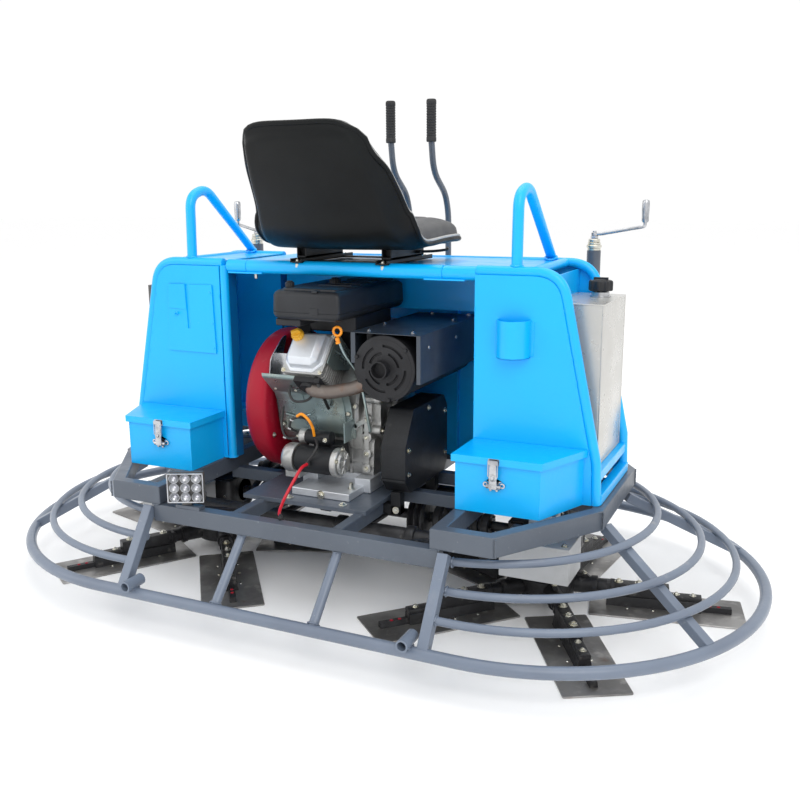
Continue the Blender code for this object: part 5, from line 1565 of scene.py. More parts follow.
def build_seat_rails():
    """Fixed rails on the deck with their cross straps."""
    rails = []
    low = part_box("seat_rails")[0][2]
    fixings = []
    for side in (-1, 1):
        x = side * 0.115
        rails.append(box(x - 0.016, x + 0.016, -0.158, 0.11, low, low + 0.003))
        for edge in (-1, 1):
            inner = x + edge * 0.0145
            rails.append(box(inner - 0.0015, inner + 0.0015, -0.158, 0.11, low, low + 0.01))
        for y in (-0.148, 0.098):
            fixings += bolt((x, y, low + 0.003), UP, 0.005, 0.005)
    for y in (-0.115, 0.06):
        rails.append(box(-0.115, 0.115, y - 0.015, y + 0.015, low + 0.001, low + 0.004))
    piece("seat_rail_channels", rails, "black_paint", hides=["seat_rails"], bevel=0.0007, segments=1)
    for x in (-0.115, 0.115):
        fixings.append(drum((x, -0.152, low - 0.002), DOWN, 0.0045, 0.0, 0.01, 0.0008, 12))
    piece("seat_rail_bolts", fixings, "zinc")


def build_seat():
    """The whole seat."""
    build_seat_shell()
    build_seat_pad()
    build_seat_runners()
    build_seat_rails()


# ---- engine ---------------------------------------------------------------
def bank_place(x, sign):
    """Placement of a cylinder leaning by the bank angle; its own +Z is the bore."""
    return Matrix.Translation((x, CRANK_Y, CRANK_Z)) @ Matrix.Rotation(sign * BANK, 4, "X")


def at_bank(place, solids):
    """Solids moved under a placement."""
    return [moved(solid, place) for solid in solids]


def square(half_x, half_y, radius, steps=4):
    """Rounded square outline about the origin."""
    return fillet(rect(-half_x, half_x, -half_y, half_y), radius, steps)


def plate_along(path, low, high, thick):
    """Bent sheet that follows a path in the y-z plane from x low to x high."""
    curve = [(p[1], p[2]) for p in rounded(path, 0.02, 6)]
    outer, inner = [], []
    for i, here in enumerate(curve):
        before, after = curve[max(i - 1, 0)], curve[min(i + 1, len(curve) - 1)]
        along = Vector((after[0] - before[0], after[1] - before[1])).normalized()
        outer.append(here)
        inner.append((here[0] - along.y * thick, here[1] + along.x * thick))
    return prism(outer + inner[::-1], "x", low, high)


def build_bank(x, sign, word):
    """One leaning cylinder: barrel with fins, head, flange and valve cover."""
    place = bank_place(x, sign)
    parts = [drum((0, 0, 0), UP, 0.047, 0.055, 0.165, 0.002, 40)]
    for k in range(9):
        z = 0.07 + 0.0105 * k
        parts.append(prism(square(0.0545, 0.0545, 0.016), "z", z, z + 0.0026))
    parts.append(prism(square(0.05, 0.052, 0.008), "z", 0.162, 0.224))
    for k in range(6):
        z = 0.168 + 0.009 * k
        parts.append(prism(square(0.058, 0.06, 0.012), "z", z, z + 0.0028))
    parts.append(prism(square(0.056, 0.058, 0.01), "z", 0.222, 0.2295))
    piece(word + "_cylinder", at_bank(place, parts), "cast", bevel=0.0008, segments=1)
    build_valve_cover(place, word)
    build_shroud(place, sign, word)
    if sign > 0:
        build_plug_lead(place, word)


def build_valve_cover(place, word):
    """Faceted valve cover with its bolts."""
    rows = []
    for z, shrink in (
        (0.229, 0.0), (0.2325, 0.0), (0.233, 0.005), (0.234, 0.0075), (0.249, 0.009), (0.25, 0.0096),
        (0.2605, 0.019), (0.2616, 0.0202), (0.262, 0.0225),
    ):
        rows.append([(a, b, z) for a, b in fillet([
            (-0.052 + shrink, -0.03), (-0.03, -0.054 + shrink), (0.03, -0.054 + shrink),
            (0.052 - shrink, -0.03),
            (0.052 - shrink, 0.054 - shrink), (-0.052 + shrink, 0.054 - shrink),
        ], 0.004, 3)])
    piece(word + "_valve_cover", at_bank(place, [loft(rows)]), "bright_cast", bevel=0.001)
    fixings = []
    for a in (-1, 1):
        for b in (-1, 1):
            fixings += bolt((a * 0.05, b * 0.052, 0.2295), UP, 0.0042, 0.0055)
    piece(word + "_cover_bolts", at_bank(place, fixings), "zinc")


def build_shroud(place, sign, word):
    """Sheet covers on the lower side of the barrel and the upper side of the head."""
    left = -0.116 if sign > 0 else -0.09
    sheet = [(-0.06, 0.218), (-0.066, 0.21), (-0.068, 0.11), (-0.062, 0.062), (-0.04, 0.022)]
    plates = [plate_along([(0, a, b) for a, b in sheet], left, 0.048, 0.0022)]
    plates.append(
        prism(
            fillet([(-0.024, 0.23), (0.062, 0.23), (0.064, 0.118), (0.026, 0.118), (-0.02, 0.19)], 0.006),
            "x", 0.059, 0.0612,
        )
    )
    plates.append(tube([(0.059, 0.02, 0.222), (0.0635, 0.03, 0.18), (0.059, 0.034, 0.13)], 0.003, 8))
    solids = at_bank(place, plates)
    if sign > 0:
        skirt = [
            (0, -0.186, 0.533), (0, -0.172, 0.51), (0, -0.16, 0.485), (0, -0.152, 0.445),
            (0, -0.147, 0.408), (0, -0.1385, 0.396),
        ]
        solids.append(plate_along(skirt, -0.183, 0.03, 0.0022))
        solids.append(plate_along([(0, a[1] - 0.0035, a[2]) for a in skirt[1:5]], -0.07, 0.012, 0.003))
        solids.append(
            plate_along([(0, a[1] - 0.003, a[2] + 0.001) for a in skirt[:3]], -0.178, -0.1, 0.0026)
        )
        solids.append(
            bead([(-0.16, -0.1558, 0.448), (-0.12, -0.1552, 0.44), (-0.085, -0.1558, 0.452)], 0.0028)
        )
        solids.append(box(0.0295, 0.0318, -0.2, -0.1385, 0.4, 0.45))
    piece(word + "_shroud", solids, "shroud", **FINE)
    if sign > 0:
        holds = []
        for x, y, z in (
            (-0.17, -0.179, 0.518), (0.02, -0.157, 0.462), (-0.17, -0.152, 0.418), (0.018, -0.15, 0.415),
            (-0.112, -0.179, 0.518),
        ):
            holds += bolt((x, y, z), (0, -0.9, -0.4), 0.0048, 0.005)
        piece("shroud_bolts", holds, "zinc")


def build_plug_lead(place, word):
    """Spark plug cap and its lead."""
    plug = [
        tube(
            rounded(
                [
                    (0.03, -0.052, 0.205), (0.046, -0.074, 0.214), (0.052, -0.086, 0.196),
                    (0.04, -0.088, 0.12),
                ],
                0.02,
            ),
            0.0042, 10,
        ),
        drum((0.03, -0.05, 0.204), (0.3, -0.5, 0.25), 0.0085, 0.0, 0.026, 0.001, 18),
    ]
    piece(word + "_plug_lead", at_bank(place, plug), "wire")


def case_outline(radius, bump, lobes_count, steps=144):
    """Round outline with bolt lobes, in the y-z plane about the crankshaft."""
    points = []
    for k in range(steps):
        angle = 2.0 * math.pi * k / steps
        size = radius + bump * max(0.0, math.cos(lobes_count * angle)) ** 3
        points.append((CRANK_Y + size * math.cos(angle), CRANK_Z + size * math.sin(angle)))
    return points


COVER_RIB_ENDS = ((0.326, 0.15), (0.362, 0.146), (0.404, 0.143), (0.448, 0.14))


def around(count, radius):
    """Points of a circle about the crankshaft in the y-z plane."""
    for k in range(count):
        angle = 2.0 * math.pi * k / count
        yield CRANK_Y + radius * math.cos(angle), CRANK_Z + radius * math.sin(angle)


def build_crankcase():
    """Crankcase body and the bossed drive-side cover."""
    body = [
        (-0.128, 0.302), (0.088, 0.302), (0.096, 0.33), (0.096, 0.43), (0.06, 0.5),
        (-0.1, 0.5), (-0.136, 0.43), (-0.136, 0.33),
    ]
    solids = [prism(fillet(body, 0.014), "x", -0.105, 0.048)]
    solids.append(drum((0, CRANK_Y, CRANK_Z), RIGHT, 0.127, -0.188, 0.04, 0.006, 56))
    for x in (-0.075, -0.03, 0.015):
        solids.append(
            prism(
                fillet([(-0.1378, 0.306), (-0.128, 0.306), (-0.128, 0.44), (-0.1378, 0.42)], 0.003), "x",
                x - 0.003, x + 0.003,
            )
        )
    for z in (0.335, 0.372, 0.409):
        solids.append(box(-0.1, 0.046, -0.1378, -0.13, z - 0.002, z + 0.002))
    piece("crankcase_body", solids, "cast", hides=["engine_block"], bevel=0.0022)
    cover = [
        prism(case_outline(0.112, 0.013, 9), "x", 0.05, 0.072),
        prism(case_outline(0.104, 0.011, 9), "x", 0.071, 0.092),
    ]
    lower = [(-0.14, 0.3), (0.1, 0.3), (0.092, 0.4), (-0.132, 0.4)]
    cover.append(prism(fillet(lower, 0.016), "x", 0.047, 0.078))
    cover.append(drum((0, CRANK_Y, CRANK_Z), RIGHT, 0.044, 0.09, 0.106, 0.004, 40))
    cover.append(drum((0, CRANK_Y, CRANK_Z), RIGHT, 0.017, 0.1, 0.14, 0.001, 24))
    for boss, low, high in zip(around(9, 0.112), around(9, 0.045), around(9, 0.104)):
        cover.append(drum((0, *boss), RIGHT, 0.0115, 0.05, 0.096, 0.0015, 24))
        cover.append(bar((0.0935, *low), (0.0935, *high), 0.0028))
    for z, deep in COVER_RIB_ENDS:
        cover.append(drum((0.0625, 0.0, z), REAR, 0.0125, 0.09, deep, 0.0015, 24))
    for x, z in ((0.03, 0.43), (0.03, 0.48), (0.012, 0.51)):
        cover.append(drum((x, 0.0, z), REAR, 0.01, 0.08, 0.146, 0.0015, 22))
    cover.append(bar((0.03, -0.14, 0.43), (0.0625, -0.14, 0.448), 0.006))
    cover.append(bar((0.0625, -0.14, 0.326), (0.0625, -0.138, 0.448), 0.006))
    piece("crankcase_cover", cover, "cast", bevel=0.0018)
    build_crankcase_bolts()
    build_engine_feet()
    build_intake()


def build_crankcase_bolts():
    """Bolts of the drive-side cover and the feet."""
    fixings = []
    for y, z in around(9, 0.112):
        fixings += bolt((0.096, y, z), RIGHT, 0.0052, 0.006)
    for z, deep in COVER_RIB_ENDS:
        fixings += bolt((0.0625, -deep, z), REAR, 0.005, 0.006)
    for x, z in ((0.03, 0.48), (0.012, 0.51)):
        fixings += bolt((x, -0.146, z), REAR, 0.0045, 0.006)
    fixings += bolt((-0.01, -0.249, 0.28), REAR, 0.0075, 0.006)
    fixings += bolt((0.05, -0.205, 0.29), UP, 0.006, 0.014)
    piece("crankcase_bolts", fixings, "zinc")


def build_engine_feet():
    """Feet between the crankcase and the tray."""
    feet = [box(-0.092, 0.066, -0.248, -0.13, 0.2708, 0.2895)]
    for x in (-0.085, 0.062):
        feet.append(box(x - 0.022, x + 0.022, CRANK_Y - 0.15, CRANK_Y + 0.15, 0.2708, 0.3068))
    feet.append(box(-0.104, 0.046, CRANK_Y - 0.112, CRANK_Y + 0.112, 0.284, 0.306))
    piece("engine_feet", feet, "bright_cast", bevel=0.0022)


def build_intake():
    """Carburettor body and breather under the air cleaner."""
    black = [prism(square(0.052, 0.06, 0.012), "z", 0.5, 0.6595)]
    black = [moved(solid, Matrix.Translation((0.0025, CRANK_Y, 0.0))) for solid in black]
    black.append(
        tube(rounded([(-0.104, -0.06, 0.6), (-0.128, -0.11, 0.65), (-0.1, -0.15, 0.668)], 0.03), 0.017, 18)
    )
    black.append(drum((-0.104, -0.06, 0.56), (0.2, -0.4, 1.0), 0.026, 0.0, 0.06, 0.004, 28))
    piece("intake_body", black, "black_plastic", bevel=0.003)


def build_blower():
    """Red blower housing, its grille, back plate and bracket."""
    low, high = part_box("blower_housing")
    inner, outer = high[0], low[0]
    profile = [
        (0.15, inner - 0.004), (0.15, inner), (0.176, inner), (0.1812, inner - 0.003),
        (0.1845, inner - 0.0085),
        (0.185, inner - 0.015), (0.185, outer + 0.032), (0.1835, outer + 0.022), (0.178, outer + 0.012),
        (0.168, outer + 0.006), (0.15, outer + 0.002), (0.118, outer), (0.112, outer + 0.002),
        (0.108, outer + 0.008), (0.108, outer + 0.03), (0.0, outer + 0.03),
    ]
    shell = spin(profile, (0, CRANK_Y, CRANK_Z), RIGHT, 72)
    piece("blower_shell", [shell], "red", hides=["blower_housing"])
    back = [drum((0, CRANK_Y, CRANK_Z), RIGHT, 0.168, inner - 0.03, inner - 0.006, 0.002, 64)]
    fan = [
        pipe((0, CRANK_Y, CRANK_Z), RIGHT, 0.1078, 0.101, outer + 0.004, outer + 0.016, 56),
        drum((0, CRANK_Y, CRANK_Z), RIGHT, 0.034, outer + 0.003, outer + 0.018, 0.003, 36),
        pipe((0, CRANK_Y, CRANK_Z), RIGHT, 0.07, 0.067, outer + 0.006, outer + 0.012, 48),
    ]
    for k in range(36):
        turn = Matrix.Translation((0, CRANK_Y, CRANK_Z)) @ Matrix.Rotation(2.0 * math.pi * k / 36, 4, "X")
        fan.append(moved(box(outer + 0.006, outer + 0.012, -0.0012, 0.0012, 0.03, 0.104), turn))
    piece("blower_back", back, "black_paint")
    piece("blower_grille", fan, "black_plastic", **FINE)
    fixings = []
    for angle in (20, 80, 140, 205, 265, 330):
        turn = math.radians(angle)
        at = (inner - 0.001, CRANK_Y + 0.163 * math.cos(turn), CRANK_Z + 0.163 * math.sin(turn))
        fixings += bolt(at, RIGHT, 0.005, 0.005)
        fixings.append(
            dome(
                (outer + 0.0015, CRANK_Y + 0.136 * math.cos(turn), CRANK_Z + 0.136 * math.sin(turn)), LEFT,
                0.0055, 0.003,
            )
        )
    piece("blower_bolts", fixings, "zinc")
    bracket = [
        prism(
            fillet(
                [
                    (-0.176, 0.59), (-0.12, 0.634), (-0.095, 0.64), (-0.13, 0.56), (-0.16, 0.52),
                    (-0.184, 0.545),
                ],
                0.012,
            ),
            "x", -0.187, -0.1845,
        ),
        box(-0.186, -0.15, -0.15, -0.147, 0.53, 0.6),
    ]
    piece("blower_bracket", bracket, "chrome", **FINE)


def build_air_cleaner():
    """Air cleaner tub, lid, knobs and clips."""
    plan = [(-0.121, -0.25), (0.05, -0.25), (0.05, 0.112), (-0.137, 0.112), (-0.137, -0.234)]

    def level(z, shrink, radius=0.012):
        points = []
        for x, y in plan:
            points.append(
                (
                    -0.0435 + (x + 0.0435) * (1.0 - shrink / 0.0935),
                    -0.069 + (y + 0.069) * (1.0 - shrink / 0.181),
                )
            )
        return [(x, y, z) for x, y in fillet(points, radius, 5)]
    tub = loft([level(0.7, 0.01), level(0.7045, 0.0035), level(0.712, 0.0), level(0.718, 0.0)])
    lid = loft([
        level(0.7175, 0.0014), level(0.719, -0.0002), level(0.756, 0.001), level(0.7625, 0.0035),
        level(0.767, 0.009), level(0.7685, 0.013),
    ])
    top = loft([level(0.768, 0.018), level(0.7722, 0.0195), level(0.7735, 0.0225)])
    under = [
        box(-0.118, 0.036, -0.14, 0.06, 0.6605, 0.702), box(-0.128, -0.06, -0.238, -0.14, 0.684, 0.701),
    ]
    ridge = [box(-0.06, 0.03, -0.15 + 0.05 * k, -0.144 + 0.05 * k, 0.772, 0.7755) for k in range(4)]
    piece("air_cleaner_shell", [tub, lid, top] + ridge, "black_plastic", hides=["air_cleaner"], bevel=0.001)
    piece("air_cleaner_base", under, "black_plastic", bevel=0.004, segments=3)
    knobs = []
    for x, y, size in ((-0.108, -0.2, 0.0105), (-0.045, -0.09, 0.0135)):
        rim = []
        for k in range(72):
            angle = 2.0 * math.pi * k / 72
            radius = size * (1.0 + 0.05 * math.cos(12 * angle))
            rim.append((x + radius * math.cos(angle), y + radius * math.sin(angle)))
        knobs.append(prism(rim, "z", 0.768, 0.784))
        knobs.append(drum((x, y, 0.7835), UP, size * 0.72, 0.0, 0.004, 0.0012, 28))
    knobs.append(box(-0.026, -0.004, -0.2515, -0.244, 0.714, 0.73))
    knobs.append(box(-0.022, -0.008, -0.247, -0.23, 0.765, 0.7705))
    piece("air_cleaner_knobs", knobs, "black_plastic", bevel=0.0012)


def slotted_disc(centre, radius, thick, slots):
    """Disc facing -Y with arc slots, each (inner radius, outer radius, start, end) in degrees."""
    radii = sorted(
        {0.0, radius} | {s[0] for s in slots} | {s[1] for s in slots}
        | {radius * k / 12 for k in range(1, 12)}
    )
    steps = 120
    x, y, z = centre

    def open_at(r, angle):
        return any(s[0] - 1e-6 < r < s[1] + 1e-6 and s[2] <= angle <= s[3] for s in slots)
    mesh = bmesh.new()
    rows = []
    for r in radii:
        rows.append([
            mesh.verts.new(
                (x + r * math.cos(2 * math.pi * k / steps), y, z + r * math.sin(2 * math.pi * k / steps))
            )
            for k in range(steps)
        ] if r > 0 else [mesh.verts.new((x, y, z))] * steps)
    for i in range(len(radii) - 1):
        middle = (radii[i] + radii[i + 1]) / 2.0
        for k in range(steps):
            if open_at(middle, 360.0 * (k + 0.5) / steps):
                continue
            j = (k + 1) % steps
            corners = list(dict.fromkeys([rows[i][k], rows[i + 1][k], rows[i + 1][j], rows[i][j]]))
            mesh.faces.new(corners)
    bmesh.ops.delete(mesh, geom=[v for v in mesh.verts if not v.link_faces], context="VERTS")
    bmesh.ops.recalc_face_normals(mesh, faces=mesh.faces)
    bmesh.ops.solidify(mesh, geom=mesh.faces[:], thickness=thick)
    mesh.verts.index_update()
    result = ([tuple(v.co) for v in mesh.verts], [tuple(v.index for v in f.verts) for f in mesh.faces])
    mesh.free()
    return result


def build_muffler():
    """Muffler can with its slotted end and outlet."""
    low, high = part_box("muffler")
    x, z = (low[0] + high[0]) / 2.0, (low[2] + high[2]) / 2.0
    rear = -0.205
    radius = 0.077
    can = spin([
        (0.0, 0.2), (0.071, 0.2), (0.075, 0.1975), (radius, 0.193), (radius, rear + 0.0125),
        (0.0785, rear + 0.011),
        (0.0785, rear + 0.005), (radius, rear + 0.0035), (0.068, rear + 0.0035), (0.066, rear + 0.0085),
        (0.0, rear + 0.0085),
    ], (x, 0.0, z), AHEAD, 64)
    slots = []
    for k in range(4):
        slots.append((0.034, 0.04, 90.0 * k + 8.0, 90.0 * k + 72.0))
        slots.append((0.051, 0.057, 90.0 * k + 30.0, 90.0 * k + 92.0 if k < 3 else 359.9))
    disc = slotted_disc((x, rear + 0.003, z), 0.07, 0.0025, slots)
    outlet = pipe((x - 0.006, rear, z - 0.001), REAR, 0.0212, 0.0182, -0.012, 0.0155, 40)
    bosses = []
    for k in range(3):
        angle = math.radians(40 + 120 * k)
        bosses.append(
            drum(
                (x + 0.0735 * math.cos(angle), rear + 0.006, z + 0.0735 * math.sin(angle)), REAR, 0.0045,
                0.0, 0.01, 0.001, 16,
            )
        )
    dark = drum((x - 0.006, rear + 0.01, z - 0.001), REAR, 0.018, 0.0, 0.002, 0.0, 32)
    piece("muffler_can", [can] + bosses, "muffler", hides=["muffler"], bevel=0.0004, segments=1)
    piece("muffler_disc", [disc, outlet], "muffler", bevel=0.0004, segments=1)
    piece("muffler_throat", [dark], "wire")


def build_exhaust_pipe():
    """Exhaust elbow and its flange."""
    route = rounded([
        (-0.054, -0.196, 0.548), (-0.046, -0.22, 0.53), (0.0, -0.218, 0.526), (0.06, -0.194, 0.538),
        (0.094, -0.178, 0.556),
    ], 0.035, 8)
    piece("exhaust_elbow", [tube(route, 0.0165, 24)], "exhaust", hides=["exhaust_pipe"])
    place = bank_place(REAR_BANK_X, 1)
    flange = [
        box(-0.02, 0.05, -0.0745, -0.06, 0.176, 0.22),
        drum((0.014, -0.07, 0.198), REAR, 0.02, 0.0, 0.014, 0.001, 28),
    ]
    piece("exhaust_flange", at_bank(place, flange), "muffler", bevel=0.002)


def build_heat_shield():
    """Folded sheet over the muffler."""
    shield_top = 0.6735
    x0, x1 = 0.0535, 0.232
    sheets = [
        box(x0, x1, -0.2, 0.196, shield_top - 0.0018, shield_top),
        box(x1 - 0.0018, x1, -0.2, 0.196, 0.56, shield_top - 0.001),
        box(x0 + 0.0185, x1 - 0.001, 0.2006, 0.2028, 0.56, shield_top - 0.0006),
        box(x0 + 0.0185, x1 - 0.001, 0.19, 0.203, shield_top - 0.002, shield_top - 0.0003),
        box(x0, x0 + 0.0018, -0.2, -0.12, 0.61, shield_top - 0.001),
        box(x0, x0 + 0.012, -0.201, -0.1992, 0.6, shield_top - 0.0005),
        box(x1 - 0.01, x1, -0.2018, -0.2, 0.56, shield_top - 0.0005),
        box(x1 - 0.012, x1 - 0.001, -0.2, 0.196, 0.56, 0.5618),
    ]
    piece("heat_shield_sheets", sheets, "shield", hides=["heat_shield"], bevel=0.0008, segments=2)
    fixings = []
    for px, py in (
        (0.09, -0.175), (0.2, -0.17), (0.075, -0.06), (0.205, 0.07), (0.205, 0.178), (0.1, 0.178),
    ):
        fixings += bolt((px, py, shield_top), UP, 0.0048, 0.0045)
    for py in (-0.15, 0.02, 0.16):
        fixings.append(dome((x1, py, 0.64), RIGHT, 0.005, 0.0028))
    piece("heat_shield_bolts", fixings, "chrome")


def build_starter():
    """Starter motor with its solenoid."""
    y, z = -0.206, 0.352
    at = (0.0, y, z)
    body = [
        drum(at, RIGHT, 0.0335, -0.092, 0.012, 0.003, 40),
        drum((0, -0.186, 0.404), RIGHT, 0.0185, -0.08, -0.01, 0.002, 32),
    ]
    body.append(box(-0.06, 0.01, -0.19, -0.1386, 0.33, 0.39))
    piece("starter_body", body, "black_paint", hides=["starter_motor"], bevel=0.0014)
    ends = [
        spin(
            [
                (0.0, -0.05), (0.02, -0.05), (0.03, -0.044), (0.0362, -0.034), (0.0365, -0.01), (0.0, -0.01),
            ][::-1],
            (-0.084, y, z), RIGHT, 40,
        ),
        drum(at, RIGHT, 0.036, 0.008, 0.026, 0.003, 40), drum(at, RIGHT, 0.029, 0.024, 0.034, 0.003, 36),
        drum(at, RIGHT, 0.011, 0.032, 0.04, 0.002, 24),
        drum((0, -0.186, 0.404), RIGHT, 0.019, -0.098, -0.078, 0.003, 32),
        box(-0.126, -0.086, y - 0.014, y + 0.03, z - 0.048, z - 0.02),
    ]
    for k in range(10):
        turn = Matrix.Translation(at) @ Matrix.Rotation(2.0 * math.pi * k / 10, 4, "X")
        ends.append(moved(box(0.03, 0.0362, -0.0012, 0.0012, 0.009, 0.027), turn))
    piece("starter_ends", ends, "cast", bevel=0.0014)
    fixings = []
    for a, b in ((-0.03, 0.012), (0.026, -0.018), (0.004, 0.034)):
        fixings += bolt((0.026, y + a, z + b), RIGHT, 0.0042, 0.005)
    for a in (-0.02, 0.022):
        fixings += bolt((-0.134, y + a * 0.6, z + a), LEFT, 0.004, 0.005)
    for k in (-0.008, 0.008):
        fixings += bolt((-0.098, -0.186 + k, 0.404), LEFT, 0.0038, 0.008)
    fixings += bolt((-0.02, -0.205, 0.404), REAR, 0.004, 0.006)
    piece("starter_bolts", fixings, "zinc")


def build_cables():
    """Battery cable, engine wires, orange lead and cable ties."""
    route = rounded([
        (-0.046, -0.2435, 0.352), (-0.046, -0.275, 0.352), (-0.05, -0.3, 0.33),
        (-0.064, -0.325, 0.29), (-0.052, -0.372, 0.2695), (-0.03, -0.402, 0.2687),
    ], 0.04, 8)
    piece("battery_cable_jacket", [tube(route, 0.0038, 16)], "red_cable", hides=["battery_cable"])
    lug = [
        drum(route[-1], (0.5, -0.86, 0.0), 0.0048, -0.016, 0.006, 0.001, 16),
        box(-0.052, -0.04, -0.249, -0.2435, 0.346, 0.358),
    ]
    piece("battery_cable_ends", lug, "wire", **FINE)
    routes = [
        [
            (-0.096, -0.196, 0.412), (-0.11, -0.222, 0.43), (-0.1, -0.228, 0.455), (-0.075, -0.222, 0.462),
            (-0.066, -0.2, 0.448),
        ],
        [(-0.096, -0.19, 0.4), (-0.125, -0.215, 0.398), (-0.14, -0.21, 0.43), (-0.15, -0.18, 0.47)],
        [(-0.04, -0.215, 0.408), (-0.02, -0.24, 0.398), (-0.03, -0.248, 0.375), (-0.046, -0.246, 0.358)],
        [
            (-0.1, -0.175, 0.56), (-0.12, -0.205, 0.52), (-0.098, -0.22, 0.495), (-0.06, -0.212, 0.5),
            (-0.05, -0.196, 0.52),
        ],
    ]
    piece("engine_wires", [tube(rounded(r, 0.03, 6), 0.0032, 10) for r in routes], "wire")
    lead = rounded(
        [
            (-0.085, -0.224, 0.462), (-0.07, -0.228, 0.472), (-0.052, -0.226, 0.458),
            (-0.046, -0.216, 0.436), (-0.05, -0.204, 0.412),
        ],
        0.03, 6,
    )
    piece("orange_lead", [tube(lead, 0.0036, 10)], "orange")
    ties = []
    for x, y, z in ((-0.11, -0.22, 0.428), (-0.098, -0.228, 0.452), (-0.128, -0.214, 0.402)):
        ties.append(pipe((x, y, z), (0.3, 0.2, 0.8), 0.0046, 0.0032, -0.0014, 0.0014, 16))
    piece("cable_ties", ties, "pale")


def build_oil_cap():
    """Oil filler cap on the rear valve cover."""
    place = bank_place(REAR_BANK_X, 1)
    centre = (-0.022, 0.026, 0.0)
    base = 0.2623
    rim = []
    for k in range(96):
        angle = 2.0 * math.pi * k / 96
        radius = 0.015 + 0.0005 * math.cos(16 * angle)
        rim.append((centre[0] + radius * math.cos(angle), centre[1] + radius * math.sin(angle)))
    cap = [
        prism(rim, "z", base, base + 0.01),
        drum(centre, UP, 0.0115, base + 0.0095, base + 0.013, 0.0012, 28),
    ]
    wing = fillet([(-0.0125, 0.0), (0.0125, 0.0), (0.0095, 0.0125), (-0.0095, 0.0125)], 0.003)
    cap.append(
        moved(
            prism(wing, "y", -0.0032, 0.0032),
            Matrix.Translation((centre[0], centre[1], base + 0.012)) @ Matrix.Rotation(0.5, 4, "Z"),
        )
    )
    piece(
        "oil_cap_moulding", at_bank(place, cap), "yellow", "oil_cap_body", hides=["oil_cap"], bevel=0.0008,
    )


def build_dipstick():
    """Dipstick tube and its ring."""
    stick = rounded([
        (0.072, CRANK_Y - 0.1223, 0.42), (0.066, -0.158, 0.5), (0.056, -0.166, 0.565),
        (0.032, -0.196, 0.62), (0.0225, -0.2015, 0.65),
    ], 0.03, 6)
    piece("dipstick_tube", [tube(stick, 0.0036, 14)], "shroud", hides=["dipstick"])
    x, y, z = 0.02, -0.203, 0.66
    loop = []
    for k in range(32):
        angle = 2.0 * math.pi * k / 32
        loop.append((x + 0.0105 * math.sin(angle), y, z + 0.013 - 0.0105 * math.cos(angle)))
    grip = [
        tube(loop, 0.0032, 12, closed=True, up=AHEAD),
        drum((x + 0.001, y + 0.0006, z - 0.011), (-0.25, -0.15, 1.0), 0.0052, 0.0, 0.01, 0.001, 18),
    ]
    grip.append(
        drum((x + 0.0016, y + 0.001, z - 0.0165), (-0.25, -0.15, 1.0), 0.0062, 0.0, 0.0055, 0.001, 18)
    )
    piece("dipstick_ring", grip, "orange")


# ---- drive ----------------------------------------------------------------
def build_belt_guard():
    """Belt guard with its lip and posts."""
    x0, x1 = 0.128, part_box("belt_guard")[1][0]
    outline = fillet([
        (-0.198, 0.322), (-0.17, 0.286), (0.046, 0.286), (0.064, 0.312), (0.064, 0.456), (0.04, 0.488),
        (-0.15, 0.488), (-0.198, 0.405),
    ], 0.006)
    inner = [(-0.068 + (y + 0.068) * 0.976, 0.387 + (z - 0.387) * 0.97) for y, z in outline]
    shell = loft(
        [
            [(x1 - 0.003, y, z) for y, z in inner], [(x0, y, z) for y, z in inner],
            [(x0, y, z) for y, z in outline], [(x1, y, z) for y, z in outline],
        ]
    )
    lip = box(x0, x1, -0.2005, -0.198, 0.318, 0.324)
    piece("belt_guard_shell", [shell, lip], "black_paint", hides=["belt_guard"], bevel=0.0016)
    posts = [
        box(0.146, 0.172, -0.186, -0.16, 0.232, 0.288), box(0.1258, 0.172, -0.186, -0.16, 0.232, 0.256),
        box(0.15, 0.176, 0.02, 0.046, 0.232, 0.288),
    ]
    piece("belt_guard_post", posts, "black_paint", bevel=0.0018)
    fixings = []
    for y, z in ((-0.18, 0.335), (-0.18, 0.395), (0.046, 0.335), (0.046, 0.445), (-0.06, 0.474)):
        fixings += bolt((x1, y, z), RIGHT, 0.005, 0.005)
    fixings += bolt((0.16, -0.186, 0.244), REAR, 0.006, 0.006)
    piece("belt_guard_bolts", fixings, "zinc")


def build_drive_shaft():
    """Drive shaft with its pulley and couplings."""
    axis = (0.0, 0.0, 0.168)
    solids = [drum(axis, RIGHT, 0.013, -0.4015, 0.4015, 0.001, 28)]
    profile = [
        (0.02, 0.132), (0.064, 0.132), (0.064, 0.135), (0.052, 0.1425), (0.064, 0.15), (0.064, 0.153),
        (0.052, 0.16), (0.064, 0.167), (0.064, 0.1715), (0.058, 0.176), (0.02, 0.176),
    ]
    solids.append(spin(profile[::-1], axis, RIGHT, 56))
    solids += [
        drum(axis, RIGHT, 0.036, 0.19, 0.21, 0.003, 40), drum(axis, RIGHT, 0.036, 0.214, 0.236, 0.003, 40),
        drum(axis, RIGHT, 0.03, 0.209, 0.215, 0.001, 12),
    ]
    for x0 in (0.29, -0.34):
        solids += [
            drum(axis, RIGHT, 0.032, x0, x0 + 0.022, 0.003, 40),
            drum(axis, RIGHT, 0.032, x0 + 0.028, x0 + 0.05, 0.003, 40),
            drum(axis, RIGHT, 0.026, x0 + 0.02, x0 + 0.03, 0.001, 12),
        ]
    solids.append(drum(axis, RIGHT, 0.026, -0.15, -0.118, 0.003, 32))
    for k in range(6):
        angle = 2.0 * math.pi * k / 6
        for x0, r in ((0.236, 0.027), (0.34, 0.024), (-0.29, 0.024)):
            solids.append(
                drum(
                    (x0, r * math.cos(angle), 0.168 + r * math.sin(angle)), RIGHT, 0.004, -0.0005, 0.0045,
                    0.0006, 6,
                )
            )
    piece(
        "drive_shaft_turned", solids, "greasy", "drive_shaft_body", hides=["drive_shaft"], bevel=0.0005,
        segments=1,
    )


